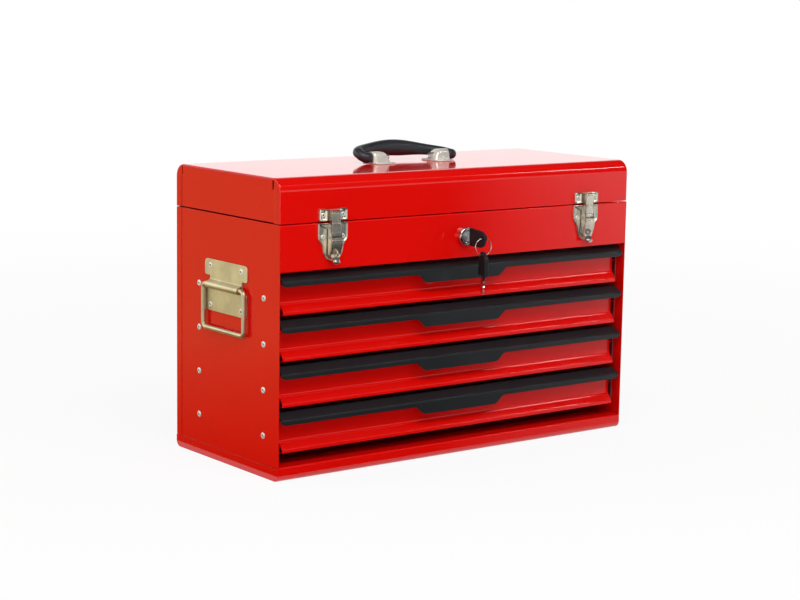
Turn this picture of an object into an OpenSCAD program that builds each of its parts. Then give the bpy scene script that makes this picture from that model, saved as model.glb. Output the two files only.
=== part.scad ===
// Portable tool box: a lidded till over four ball-bearing drawers, in folded sheet steel.
// The origin is on the floor under the middle of the box. +X is to the right, the front faces -Y.

/* [Cabinet] */
// Width over the two sides
body_w = 520; // [440:1:640]
// Depth from the front rail to the back
body_d = 220; // [200:1:260]
// Height of the front rail that carries the latches and the lock
rail_h = 53; // [50:0.5:70]
// Height of the lid
lid_h = 50; // [42:0.5:80]
// Thickness of the sheet steel
sheet = 1; // [0.8:0.1:1.2]
// Radius of the lid's front and back folds
lid_fold_r = 13; // [10:0.5:16]
// Radius of the base pan's lower corners
pan_fold_r = 8; // [5:0.5:10]
// Height of the base pan's side flanges
pan_h = 14.5; // [12:0.5:16]
// Height of the plinth below the lowest drawer
plinth_h = 17; // [17:0.5:24]
// Depth of the plinth's top
plinth_top = 35; // [20:1:60]
// Width of the flanges that wrap round the corners
wrap = 12; // [9:0.5:16]
// Width of the rim that is turned in round the till
rim = 10; // [6:0.5:14]
// Depth of the front rail's lower return
rail_return = 15; // [10:0.5:18]
// Height of the upstand behind the till's floor
till_up = 9; // [6:0.5:14]
// Height of the tongues inside the base pan
lap_up = 8; // [6:0.5:12]
// Line left open between two panels that meet in one plane
panel_gap = 0.5; // [0.3:0.1:0.8]
// How far a side panel reaches behind the flange beside it
lap = 2.5; // [2:0.5:4]
// Line left open between the lid and the box
seam = 1; // [0.8:0.1:1.5]

/* [Drawers] */
// Height from one drawer to the next
pitch = 52; // [50:0.5:70]
// Space between the plinth and the lowest drawer front
plinth_space = 14; // [8:0.5:20]
// How far the front rail reaches below the next drawer position
rail_drop = 3; // [1:0.5:4]
// Height of the tray's walls
tray_h = 33; // [25:0.5:36]
// Thickness of the tray's sheet
tray_sheet = 0.8; // [0.6:0.1:1]
// How far the flat of the drawer front lies behind the front rail
front_recess = 13; // [11:0.5:16]
// How far the foot of the drawer front stands out from its flat
front_flare = 7; // [4:0.5:9]
// Height at which the drawer front starts to flare
flare_h = 17; // [14:0.5:20]
// Gap between a drawer front and each side panel
front_side_gap = 8; // [4:0.5:10]
// Gap between a pull and each side panel
pull_side_gap = 3; // [1.5:0.5:6]
// Wall of the pull
pull_wall = 1.6; // [1.2:0.1:2]
// Height of the pull's top edge above the foot of its drawer
pull_top = 47.3; // [45:0.1:48]
// Height of the pull's nose
pull_nose = 39; // [37:0.1:41]
// Height of the pull's straight lower edge
pull_edge = 33; // [31:0.1:35]
// Height of the pull's middle flap
flap_edge = 23.2; // [19:0.1:27]
// Width of the flap along its lower edge
flap_w = 106; // [80:1:140]
// Width of each sloping end of the flap
flap_slope = 14; // [8:1:20]

/* [Slides] */
// Height of the fixed rail
slide_h = 27; // [25:0.5:28]
// Thickness of a slide from side panel to tray
slide_t = 10; // [9:0.5:12]
// Distance a drawer comes out
travel = 150; // [100:1:150]
// Thickness of the rails
rail_t = 1.2; // [1:0.1:1.4]
// Height of the slides' middle above the foot of the drawer
slide_z = 17.5; // [17:0.5:19]
// Diameter of the balls
ball_d = 2.6; // [2.4:0.1:2.8]
// Balls in each row of a cage
balls = 4; // [3:1:5]
// Play beside the balls
ball_play = 0.15; // [0.1:0.01:0.2]

/* [Rivets] */
// Diameter of a rivet's shank
rivet_d = 3.2; // [2.8:0.1:4]
// Diameter of a rivet's head
rivet_head = 6.4; // [5:0.1:7]
// Height of a rivet's head
rivet_dome = 1.1; // [0.8:0.1:1.6]
// Clearance round a rivet's shank
rivet_play = 0.05; // [0.02:0.01:0.1]
// Distance of the front slide rivets from the box's front
rivet_front = 31; // [25:1:45]
// Space between a handle plate and the rear slide rivets
rivet_clear = 11.3; // [8:0.1:16]

/* [Lid hinge] */
// Distance of each end of the continuous hinge from the side of the box
hinge_inset = 20; // [10:1:60]
// Number of knuckles
knuckles = 11; // [7:2:15]
// Diameter of the hinge pin
hinge_pin_d = 2.4; // [2:0.1:2.8]
// Outer radius of the knuckles
knuckle_r = 2.6; // [2.3:0.1:3]
// Height of each leaf
leaf_h = 15; // [10:0.5:20]
// Running clearance of pins in their eyes
pin_play = 0.05; // [0.03:0.01:0.08]

/* [Carry handle] */
// Half the distance between the two ends of the grip
grip_end = 58; // [50:0.5:62]
// Half the outer width of the grip
grip_half = 76; // [74:0.5:86]
// Distance of the grip's middle from its axis
grip_reach = 31; // [28:0.5:40]
// Height of the handle's axis above the lid
axis_h = 7.3; // [7:0.1:9]
// Thickness of the grip at its ends
grip_thin = 12.8; // [10:0.1:13]
// Thickness of the grip in the middle
grip_thick = 20.5; // [14:0.5:22]
// Half the length over which the grip swells in the middle
swell_half = 40; // [34:1:56]
// Width of the grip in the middle
grip_wide = 20; // [16:0.5:24]
// Angle above level at which the handle rests, leaning back
lean = 14.5; // [12:0.5:30]
// Diameter of the handle's pivot pins
handle_pin_d = 6; // [5:0.1:6.5]
// Width of a saddle bracket
saddle_w = 26; // [12:0.5:28]
// Half the length of a saddle's feet
saddle_foot = 20; // [17:0.5:24]

/* [Side handles] */
// Width of the handle plate above the bail
plate_w = 90; // [80:1:110]
// How far the plate's foot is narrower than its head on each side
foot_inset = 1.5; // [0.5:0.5:8]
// Distance of the plate's rivets from the ends of its head
plate_rivet_in = 12.3; // [11.5:0.1:15]
// Width of the plate's neck and of its rolled barrel
neck_w = 68; // [60:1:70]
// Distance of the handle plate's middle in front of the box's middle
plate_ahead = 2; // [0:0.5:6]
// Height of the handle plate
plate_h = 60; // [54:1:70]
// Height of the plate's lower edge above the floor
plate_z = 176; // [150:1:200]
// Height of the bail's axis above the plate's lower edge
bail_axis = 31; // [28:0.5:34]
// Diameter of the bail's wire
bail_d = 5.5; // [4.5:0.1:6]
// Drop of the bail below its axis
bail_drop = 50.5; // [44:0.5:56]
// How far the middle of each bail leg lies in from the edge of the plate's head
bail_inset = 2; // [0:0.5:4]
// Thickness of the handle plate
plate_t = 1.5; // [1.2:0.1:2]

/* [Latches] */
// Distance of each latch's middle from the side of the box
latch_inset = 70; // [60:1:110]
// Width of the latch base and keeper
latch_w = 40; // [38:0.5:44]
// Height of the latch base
latch_h = 43; // [42:0.5:45]
// Thickness of the latch plates
latch_t = 1.2; // [1:0.1:1.4]
// Width of the lever
lever_w = 15; // [14:0.5:16]
// Stand-off of the lever's face from the rail
lever_off = 10; // [9.5:0.1:10.5]
// Diameter of the latch pins
latch_pin_d = 2.4; // [2:0.1:2.6]
// Radius of the padlock eye
eye_r = 2.8; // [2.5:0.1:3]
// Height of the keeper
keeper_h = 14; // [12:0.5:16]
// Height of the padlock eye's middle above the shield's tip
eye_up = 9.5; // [8:0.5:10]
// Drop of the base's rivets below its upper edge
base_rivet_drop = 15.5; // [11:0.5:17]
// Drop of the lever's bend below the base's upper edge
slant_drop = 27; // [26:0.5:29]

/* [Lock and keys] */
// Height of the lock's axis above the rail's lower edge
lock_h = 25.7; // [22:0.1:30]
// Diameter of the lock's front bezel
bezel_d = 21; // [19:0.1:22]
// Distance the bezel stands out
bezel_out = 6; // [4:0.5:8]
// Depth of the threaded barrel behind the front
lock_depth = 18; // [16:0.5:20]
// Diameter of the threaded barrel
barrel_d = 16; // [15:0.1:17]
// Diameter of the plug
plug_d = 12; // [10.5:0.1:13]
// Width across the flats of the nut
nut_w = 21; // [19:0.5:24]
// Length of the cam from its axis
cam_l = 20; // [18:0.5:22]
// Width of the cam
cam_w = 8; // [6:0.5:9]
// Thickness of a key's blade
blade_t = 2.2; // [2:0.1:2.6]
// Height of a key's blade
blade_h = 7.6; // [6.5:0.1:8]
// Length of a key's blade
blade_l = 23; // [21:0.5:26]
// Clearance round the blade in the keyway
blade_play = 0.1; // [0.05:0.01:0.2]
// Length of a key's head
head_l = 29; // [26:0.5:32]
// Height of a key's head
head_h = 21; // [18:0.5:24]
// Thickness of a key's head
head_t = 5; // [4:0.1:6]
// Mean diameter of the key ring
ring_d = 19.6; // [18:0.1:24]
// Thickness of the key ring's wire
ring_wire = 1.8; // [1.4:0.1:2]
// Radius of the hole in a key's head
head_hole_r = 2.3; // [2.2:0.1:2.6]
// Turn of the hanging ring about the vertical
ring_turn = -17; // [-30:1:0]

/* [Hidden] */
$fn = 48;

drawer_count = 4;
red = [0.82, 0.05, 0.03];
side_red = [0.83, 0.17, 0.07];
black = [0.08, 0.08, 0.09];
zinc = [0.75, 0.76, 0.78];
yellow_zinc = [0.76, 0.71, 0.55];

half = body_w / 2;
inner = half - sheet;
front_y = -body_d / 2;
back_y = body_d / 2;
lowest = plinth_h + plinth_space;
plinth_lip = 6;
rail_z = lowest + drawer_count * pitch - rail_drop;
body_top = rail_z + rail_h;
lid_z = body_top + seam;
lid_top = lid_z + lid_h;
// overlap that joins two shapes of one piece
hair = 0.01;

// foot height of drawer n, counted from the top
function foot_z(n) = lowest + (drawer_count - n) * pitch;

flat_y = front_y + front_recess;
panel_back_y = flat_y + sheet;
slide_y0 = panel_back_y + tray_sheet;
lap_y = back_y - wrap - panel_gap - lap;
slide_y1 = lap_y - 0.2;
slide_l = slide_y1 - slide_y0;
slide_x = inner - slide_t;

rivet_r = rivet_d / 2 + rivet_play;
rivet_rows = [front_y + rivet_front, plate_w / 2 - plate_ahead + rivet_clear + rivet_head / 2];

hinge_y = back_y + knuckle_r + 0.2;
hinge_z = body_top + seam / 2;
hinge_l = body_w - 2 * hinge_inset;
leaf_t = 1;
knuckle_l = hinge_l / knuckles;
knuckle_gap = 0.3;

axis_z = lid_top + axis_h;
saddle_x = grip_end - saddle_w / 2 - 0.3;
saddle_r = axis_h - 0.8;
saddle_t = 1.6;
saddle_rivet_y = saddle_foot - 5;

bail_off = bail_d / 2 + plate_t + 0.4;
barrel_r = bail_off;
bail_z = plate_z + bail_axis;
plate_low_w = plate_w - 2 * foot_inset;
bail_span = plate_w - 2 * bail_inset;
plate_rivet_y = plate_w / 2 - plate_rivet_in;
plate_rivet_z = [7, plate_h - 7.5];
notch_h = 14;

latch_x = half - latch_inset;
lever_y = front_y - lever_off;
pivot_y = lever_y + 4.8;
pivot_z = body_top - 4;
claw_pin_y = lever_y + 4.2;
claw_pin_z = pivot_z - 7.5;
ear_r = 3;
latch_z = body_top - 0.5;
latch_rivet_x = latch_w / 2 - 6.5;
base_rivet_z = latch_z - base_rivet_drop;
keeper_z = lid_z + 0.5;
keeper_rivet_z = keeper_z + keeper_h / 2;
eye_y = lever_y - 0.5;
eye_z = latch_z - latch_h + eye_up;
lever_gap = 0.5;
lever_top = pivot_z - 12.5;

lock_z = rail_z + lock_h;
lock_back = front_y + lock_depth;
cam_t = 1.5;
striker_x = cam_l - 6;
striker_t = 1.2;
key_y = front_y - bezel_out - 5.5;
hole_y = key_y - head_l + 5.5;
hole_z = lock_z + 1.1;
ring_r = ring_d / 2;
ring_drop = 0.6;

// Shapes that place a flat outline or a round bar along an axis

module box(lo, hi) {
  translate(lo) cube(hi - lo);
}

// an outline in (y, z) drawn out from x0 to x1
module x_bar(x0, x1) {
  translate([x0, 0, 0]) rotate([90, 0, 90]) linear_extrude(x1 - x0) children();
}

// an outline in (x, z) drawn out from y0 to y1
module y_bar(y0, y1) {
  translate([0, y1, 0]) rotate([90, 0, 0]) linear_extrude(y1 - y0) children();
}

module x_rod(r, x0, x1, y, z) {
  translate([x0, y, z]) rotate([0, 90, 0]) cylinder(r = r, h = x1 - x0);
}

module y_rod(r, y0, y1, x, z) {
  translate([x, y0, z]) rotate([-90, 0, 0]) cylinder(r = r, h = y1 - y0);
}

module z_rod(r, z0, z1, x, y) {
  translate([x, y, z0]) cylinder(r = r, h = z1 - z0);
}

// the part as drawn for the right-hand side, or mirrored for the left
module on_side(side) {
  mirror([side < 0 ? 1 : 0, 0, 0]) children();
}

module both_sides() {
  on_side(1) children();
  on_side(-1) children();
}

// rectangle whose corners have true arcs of radius r
module rounded(x0, z0, x1, z1, r) {
  translate([x0 + r, z0]) square([x1 - x0 - 2 * r, z1 - z0]);
  translate([x0, z0 + r]) square([x1 - x0, z1 - z0 - 2 * r]);
  for (x = [x0 + r, x1 - r], z = [z0 + r, z1 - r]) translate([x, z]) circle(r);
}

function unit(v) = v / norm(v);
function turn_left(v) = [-v[1], v[0]];
// direction that halves the corner at point i of a path, scaled so that the strip keeps its thickness
function mitre(path, i) =
  let (last = len(path) - 1,
       a = turn_left(unit(path[min(i + 1, last)] - path[min(i, last - 1)])),
       b = turn_left(unit(path[max(i, 1)] - path[max(i - 1, 0)])),
       m = unit(a + b))
  m / (m * a);

// sheet of thickness t folded along a path, on the left of it
module folded(path, t) {
  outer = [for (i = [0 : len(path) - 1]) path[i]];
  inside = [for (i = [len(path) - 1 : -1 : 0]) path[i] + t * mitre(path, i)];
  polygon(concat(outer, inside));
}

// rivet along +Z from its head's seat at 0, with a shank of the given length below
module rivet(shank) {
  difference() {
    union() {
      cylinder(r1 = rivet_head / 2, r2 = rivet_head / 2 - rivet_dome, h = rivet_dome);
      translate([0, 0, -shank]) cylinder(r = rivet_d / 2, h = shank + hair);
    }
    translate([0, 0, rivet_dome - 0.6]) cylinder(r = rivet_d / 2 - 0.6, h = 1);
  }
}

module rivet_x(x, y, z, shank) {
  translate([x, y, z]) rotate([0, 90, 0]) rivet(shank);
}

module rivet_front(x, y, z, shank) {
  translate([x, y, z]) rotate([90, 0, 0]) rivet(shank);
}

// Case

// side view of the base pan's corners, up to height top
module pan_outline(inset, top) {
  r = pan_fold_r - inset;
  intersection() {
    rounded(front_y + inset, inset, back_y - inset, top + 3 * pan_fold_r, r);
    translate([front_y, 0]) square([body_d, top]);
  }
}

module base_pan() {
  color(red) {
    x_bar(-inner, inner) {
      difference() {
        pan_outline(0, pan_h);
        pan_outline(sheet, pan_h + 1);
      }
      translate([front_y, pan_h - hair]) square([sheet, plinth_h - pan_h + hair]);
      translate([front_y, plinth_h - sheet]) square([plinth_top, sheet]);
      translate([front_y + plinth_top - sheet, plinth_h - plinth_lip]) square([sheet, plinth_lip]);
    }
    both_sides() x_bar(inner, half) pan_outline(0, pan_h);
  }
}

module slide_rivet_holes() {
  for (n = [1 : drawer_count], y = rivet_rows)
    x_rod(rivet_r, slide_x, half + 1, y, foot_z(n) + slide_z);
}

module plate_rivet_holes() {
  for (y = [-plate_rivet_y, plate_rivet_y], z = plate_rivet_z)
    x_rod(rivet_r, inner - 1, half + plate_t + 1, y - plate_ahead, plate_z + z);
}

module side_panel(side) {
  color(side_red) on_side(side) difference() {
    union() {
      box([inner, front_y, pan_h + panel_gap], [half, back_y - wrap - panel_gap, body_top]);
      // tongues behind the flanges of the back panel and of the base pan
      box([inner - sheet, lap_y, pan_fold_r], [inner, back_y - sheet, body_top - sheet]);
      box([inner - sheet, front_y + plinth_top + 1, pan_fold_r], [inner, lap_y + 1, pan_h + lap_up]);
      // ledge under the till's floor and rim round the till
      box([inner - rim, front_y + rail_return + 1, rail_z], [inner, lap_y - lap, rail_z + sheet]);
      box([half - rim, front_y + rim, body_top - sheet], [inner, lap_y - lap, body_top]);
    }
    slide_rivet_holes();
    plate_rivet_holes();
  }
}

module back_panel() {
  color(red) {
    box([-inner, back_y - sheet, pan_h + panel_gap], [inner, back_y, body_top]);
    both_sides() box([inner, back_y - wrap, pan_h + panel_gap], [half, back_y, body_top]);
    // tongue inside the base pan and rim behind the hinge
    box([-inner + 2 * sheet, back_y - 2 * sheet, pan_fold_r],
        [inner - 2 * sheet, back_y - sheet, pan_h + lap_up]);
    box([-half + rim + 1, back_y - rim, body_top - sheet], [half - rim - 1, back_y - sheet, body_top]);
  }
}

module front_rail() {
  color(red) difference() {
    x_bar(-inner, inner) {
      translate([front_y, rail_z]) square([sheet, rail_h]);
      translate([front_y, rail_z]) square([rail_return, sheet]);
      translate([front_y, body_top - sheet]) square([rim - 2, sheet]);
    }
    y_rod(barrel_d / 2 + 0.1, front_y - 1, front_y + sheet + 1, 0, lock_z);
    for (side = [-1, 1], x = [-latch_rivet_x, latch_rivet_x])
      y_rod(rivet_r, front_y - 1, front_y + sheet + 1, side * latch_x + x, base_rivet_z);
  }
}

module till_floor() {
  x = inner - sheet - 0.2;
  z = rail_z + sheet;
  color(red) {
    box([-x, front_y + sheet + 0.2, z], [x, back_y - sheet - 0.2, z + sheet]);
    box([-x, back_y - 2 * sheet - 0.2, z], [x, back_y - sheet - 0.2, z + till_up]);
  }
}

// fixed rails, one C-shaped channel for each drawer
module slide_rails(side) {
  color(zinc) on_side(side) difference() {
    for (n = [1 : drawer_count]) {
      z = foot_z(n) + slide_z;
      h = slide_h / 2;
      box([inner - rail_t, slide_y0, z - h], [inner, slide_y1, z + h]);
      for (s = [-1, 1])
        box([slide_x + 1.5, slide_y0, z + s * (h - rail_t / 2) - rail_t / 2],
            [inner - rail_t + hair, slide_y1, z + s * (h - rail_t / 2) + rail_t / 2]);
    }
    slide_rivet_holes();
  }
}

module slide_rivets() {
  color(zinc) both_sides() for (n = [1 : drawer_count], y = rivet_rows)
    rivet_x(half, y, foot_z(n) + slide_z, sheet + rail_t);
}

// leaf and knuckles of the hinge: the case has the odd knuckles, the lid the even ones
module hinge_leaf(first, up) {
  color(zinc) difference() {
    union() {
      mirror([0, 0, up ? 0 : 1]) translate([0, 0, up ? hinge_z : -hinge_z])
        box([-hinge_l / 2, back_y, knuckle_r + 0.6], [hinge_l / 2, back_y + leaf_t, leaf_h + knuckle_r]);
      for (i = [first : 2 : knuckles - 1]) {
        x0 = -hinge_l / 2 + i * knuckle_l + knuckle_gap / 2;
        x1 = x0 + knuckle_l - knuckle_gap;
        reach = (up ? 1 : -1) * (knuckle_r + 1);
        x_rod(knuckle_r, x0, x1, hinge_y, hinge_z);
        box([x0, back_y, min(hinge_z, hinge_z + reach)], [x1, back_y + leaf_t, max(hinge_z, hinge_z + reach)]);
      }
    }
    x_rod(hinge_pin_d / 2 + pin_play, -hinge_l, hinge_l, hinge_y, hinge_z);
  }
}

module hinge_pin() {
  color(zinc) x_rod(hinge_pin_d / 2, -hinge_l / 2, hinge_l / 2, hinge_y, hinge_z);
}

module lock_housing() {
  color(zinc) difference() {
    union() {
      y_rod(bezel_d / 2, front_y - bezel_out, front_y, 0, lock_z);
      y_rod(barrel_d / 2, front_y - hair, lock_back, 0, lock_z);
    }
    y_rod(plug_d / 2 + pin_play, front_y - bezel_out - 1, lock_back + 1, 0, lock_z);
  }
}

module lock_nut() {
  color(zinc) difference() {
    translate([0, front_y + sheet, lock_z]) rotate([-90, 0, 0]) cylinder(d = nut_w / cos(30), h = 5, $fn = 6);
    y_rod(barrel_d / 2 + rivet_play, front_y, front_y + 10, 0, lock_z);
  }
}

// Latches

// half of the shield's outline, as shares of its half width and of its height: from the parallel sides
// through an S-curve to a full round tip
shield_curve = [[1, 0.42], [0.935, 0.455], [0.84, 0.5], [0.76, 0.56], [0.70, 0.63], [0.67, 0.70], [0.645, 0.77],
                [0.60, 0.835], [0.52, 0.89], [0.41, 0.94], [0.27, 0.975], [0.12, 0.995]];

module latch_shield() {
  w = latch_w / 2;
  curve = [for (p = shield_curve) [w * p[0], latch_z - latch_h * p[1]]];
  last = len(curve) - 1;
  polygon(concat([[-w + 1, latch_z], [w - 1, latch_z], [w, latch_z - 1]], curve,
                 [for (i = [last : -1 : 0]) [-curve[i][0], curve[i][1]]], [[-w, latch_z - 1]]));
}

module latch_base(side) {
  ear_x = lever_w / 2 + lever_gap;
  color(zinc) translate([side * latch_x, 0, 0]) difference() {
    union() {
      y_bar(front_y - latch_t, front_y) latch_shield();
      both_sides() x_bar(ear_x, ear_x + latch_t) {
        translate([pivot_y, pivot_z]) circle(ear_r);
        translate([pivot_y, pivot_z - ear_r]) square([front_y - pivot_y, 2 * ear_r]);
      }
      x_bar(-latch_t, latch_t) {
        translate([eye_y, eye_z]) circle(eye_r + 2.2);
        translate([eye_y, eye_z - eye_r - 2.2]) square([front_y - eye_y, 2 * eye_r + 4.4]);
      }
    }
    x_rod(latch_pin_d / 2 + pin_play, -latch_w, latch_w, pivot_y, pivot_z);
    x_rod(eye_r, -latch_w, latch_w, eye_y, eye_z);
    for (x = [-latch_rivet_x, latch_rivet_x])
      y_rod(rivet_r, front_y - latch_t - 1, front_y + 1, x, base_rivet_z);
  }
}

module latch_rivets() {
  color(zinc) for (side = [-1, 1], x = [-latch_rivet_x, latch_rivet_x])
    rivet_front(side * latch_x + x, front_y - latch_t, base_rivet_z, latch_t + sheet);
}

module latch_pins() {
  x = lever_w / 2 + lever_gap + latch_t + 0.6;
  color(zinc) for (side = [-1, 1])
    x_rod(latch_pin_d / 2, side * latch_x - x, side * latch_x + x, pivot_y, pivot_z);
}

// channel that turns on the base: its face slants back to a slotted end over the padlock eye
module latch_lever(side) {
  w = lever_w / 2;
  slant_z = latch_z - slant_drop;
  end_z = latch_z - latch_h - 4;
  end_y = front_y - latch_t - 2.2;
  face = [[lever_y, lever_top], [lever_y, slant_z], [end_y - latch_t, eye_z - 4], [lever_y + 0.6, end_z]];
  color(zinc) translate([side * latch_x, 0, 0]) difference() {
    union() {
      intersection() {
        x_bar(-w, w) folded(face, latch_t);
        y_bar(lever_y - 1, front_y) {
          translate([-w, slant_z]) square([2 * w, lever_top - slant_z + 1]);
          polygon([[-w, slant_z + hair], [w, slant_z + hair], [w - 2, end_z + 4], [w - 4, end_z],
                   [-w + 4, end_z], [-w + 2, end_z + 4]]);
        }
      }
      both_sides() x_bar(w - latch_t, w) {
        translate([pivot_y, pivot_z]) circle(ear_r);
        polygon([[lever_y + 2, pivot_z], [pivot_y + ear_r, pivot_z], [pivot_y + ear_r, slant_z - 2],
                 [end_y + 0.6, slant_z - 9], [lever_y + 2.6, slant_z - 4], [lever_y + hair, slant_z], [lever_y + hair, lever_top]]);
      }
      // trunnions that carry the claw
      x_rod(latch_pin_d / 2, -w + hair, w - hair, claw_pin_y, claw_pin_z);
    }
    x_rod(latch_pin_d / 2 + pin_play, -latch_w, latch_w, pivot_y, pivot_z);
    box([-latch_t - 1.1, lever_y - 2, eye_z - eye_r - 3.4], [latch_t + 1.1, front_y, eye_z + eye_r + 5]);
  }
}

// hook plate that turns on the lever and reaches up in front of the keeper
module latch_claw(side) {
  w = lever_w / 2 - latch_t - lever_gap;
  face_y = lever_y + latch_t + 0.4;
  top_z = keeper_z + keeper_h - 1.5;
  color(zinc) translate([side * latch_x, 0, 0]) difference() {
    union() {
      box([-w, face_y, claw_pin_z - 3], [w, face_y + 1, top_z]);
      box([-w, face_y, top_z - latch_t], [w, front_y - latch_t - 3.4, top_z]);
      both_sides() {
        box([w - 1, face_y, body_top + 0.5], [w, front_y - latch_t - 1.4, top_z]);
        x_bar(w - 1, w) {
          translate([claw_pin_y, claw_pin_z]) circle(2.6);
          translate([face_y, claw_pin_z - 2.6]) square([claw_pin_y - face_y, 5.2]);
        }
      }
    }
    x_rod(latch_pin_d / 2 + pin_play, -latch_w, latch_w, claw_pin_y, claw_pin_z);
  }
}

module latch_keepers() {
  w = latch_w / 2;
  ear_w = 12.5;
  color(zinc) for (side = [-1, 1]) translate([side * latch_x, 0, 0]) difference() {
    union() {
      y_bar(front_y - latch_t, front_y) rounded(-w, keeper_z, w, keeper_z + keeper_h, 2);
      box([-3.6, front_y - latch_t - 2.6, keeper_z + 7.5], [3.6, front_y, keeper_z + 9]);
    }
    for (x = [-latch_rivet_x, latch_rivet_x])
      y_rod(rivet_r, front_y - latch_t - 1, front_y + 1, x, keeper_rivet_z);
  }
}

// Side handles

// plate with a wide head, a neck at the bail and a narrower foot, in (y, z)
module plate_outline() {
  neck_z = bail_z + notch_h / 2 + 3;
  translate([-plate_ahead, 0]) {
    rounded(-plate_w / 2, neck_z, plate_w / 2, plate_z + plate_h, 4);
    rounded(-neck_w / 2, plate_z, neck_w / 2, plate_z + plate_h, 1);
    rounded(-plate_low_w / 2, plate_z, plate_low_w / 2, neck_z - notch_h, 2);
  }
}

module side_handle_plate(side) {
  color(yellow_zinc) on_side(side) difference() {
    union() {
      x_bar(half, half + plate_t) plate_outline();
      y_rod(barrel_r, -plate_ahead - neck_w / 2, -plate_ahead + neck_w / 2, half + bail_off, bail_z);
    }
    y_rod(bail_d / 2 + pin_play, -plate_w, plate_w, half + bail_off, bail_z);
    plate_rivet_holes();
  }
}

module side_handle_rivets() {
  color(zinc) both_sides() for (y = [-plate_rivet_y, plate_rivet_y], z = plate_rivet_z)
    rivet_x(half + plate_t, y - plate_ahead, plate_z + z, plate_t + sheet);
}

// quarter of a bent wire in the (y, z) plane, from angle start to start + 90
module wire_bend(r, bend, x, y, z, start) {
  translate([x, y, z]) rotate([90, 0, 90]) rotate([0, 0, start])
    rotate_extrude(angle = 90) translate([bend, 0]) circle(r);
}

// closed wire loop whose upper bar turns in the plate's rolled barrel
module bail(side) {
  r = bail_d / 2;
  bend = 5;
  x = half + bail_off;
  y = bail_span / 2;
  low = bail_z - bail_drop;
  color(yellow_zinc) on_side(side) translate([0, -plate_ahead, 0]) {
    for (z = [low, bail_z]) y_rod(r, -y + bend, y - bend, x, z);
    for (s = [-1, 1]) z_rod(r, low + bend, bail_z - bend, x, s * y);
    wire_bend(r, bend, x, y - bend, bail_z - bend, 0);
    wire_bend(r, bend, x, -y + bend, bail_z - bend, 90);
    wire_bend(r, bend, x, -y + bend, low + bend, 180);
    wire_bend(r, bend, x, y - bend, low + bend, 270);
  }
}

// Lid

module lid_outline(inset) {
  r = lid_fold_r - inset;
  intersection() {
    rounded(front_y + inset, lid_z - 3 * lid_fold_r, back_y - inset, lid_top - inset, r);
    translate([front_y, lid_z - (inset > 0 ? 1 : 0)]) square([body_d, lid_h + 2]);
  }
}

module lid_wrap() {
  color(red) difference() {
    union() {
      x_bar(-inner, inner) difference() {
        lid_outline(0);
        lid_outline(sheet);
      }
      both_sides() x_bar(inner, half) difference() {
        lid_outline(0);
        translate([front_y + wrap, 0]) square([body_d - 2 * wrap, lid_top + 1]);
      }
    }
    for (side = [-1, 1], s = [-1, 1]) {
      z_rod(rivet_r, lid_top - sheet - 1, lid_top + 1, side * saddle_x, s * saddle_rivet_y);
      y_rod(rivet_r, front_y - 1, front_y + sheet + 1, side * latch_x + s * latch_rivet_x, keeper_rivet_z);
    }
  }
}

module lid_end(side) {
  y = back_y - wrap - panel_gap;
  tongue_y = back_y - sheet;
  color(side_red) on_side(side) {
    box([inner, -y, lid_z], [half, y, lid_top]);
    // lining that reaches behind the lid's flanges, and the lid's inner rim
    box([inner - sheet, -tongue_y, lid_z + 3], [inner, tongue_y, lid_top - lid_fold_r]);
    box([inner - sheet, -y, lid_z], [inner, y, lid_top - sheet]);
    box([inner - rim, -y, lid_z], [inner, y, lid_z + sheet]);
  }
}

// tab that hangs from the lid behind the rail; the turned cam stands in its window
module lid_striker() {
  tab_y = lock_back - cam_w / 2 - 1;
  tab_d = 2 * cam_w - 1;
  low = lock_z - 1.5 * cam_w;
  foot = [lid_z + 3, lid_z + 0.36 * lid_h];
  wall_y = front_y + sheet;
  color(zinc) difference() {
    union() {
      x_bar(striker_x, striker_x + striker_t)
        polygon([[wall_y, foot[0]], [tab_y, lid_z - 2], [tab_y, low], [tab_y + tab_d, low],
                 [tab_y + tab_d, foot[1] - 6], [wall_y, foot[1]]]);
      box([striker_x, wall_y, foot[0]], [striker_x + 2 * cam_w, wall_y + striker_t, foot[1]]);
    }
    box([striker_x - 1, lock_back - 2, lock_z - cam_w / 2 - 1],
        [striker_x + striker_t + 1, lock_back + cam_w - 1, lock_z + cam_l + 2]);
  }
}

module handle_brackets() {
  w = saddle_w / 2;
  color(zinc) for (side = [-1, 1]) translate([side * saddle_x, 0, 0]) difference() {
    union() {
      x_rod(saddle_r, -w, w, 0, axis_z);
      box([-w, -saddle_r, lid_top], [w, saddle_r, axis_z]);
      translate([0, 0, lid_top]) linear_extrude(saddle_t) rounded(-w, -saddle_foot, w, saddle_foot, 3);
    }
    x_rod(handle_pin_d / 2 + pin_play, -saddle_w, saddle_w, 0, axis_z);
    for (y = [-saddle_rivet_y, saddle_rivet_y])
      z_rod(rivet_r, lid_top - 1, lid_top + saddle_t + 1, 0, y);
  }
}

module lid_rivets() {
  color(zinc) for (side = [-1, 1], s = [-1, 1]) {
    translate([side * saddle_x, s * saddle_rivet_y, lid_top + saddle_t]) rivet(saddle_t + sheet);
    rivet_front(side * latch_x + s * latch_rivet_x, front_y - latch_t, keeper_rivet_z, latch_t + sheet);
  }
}

// Carry handle

grip_steps = 24;
grip_sides = 16;
loop_r = grip_thin / 2;
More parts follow.
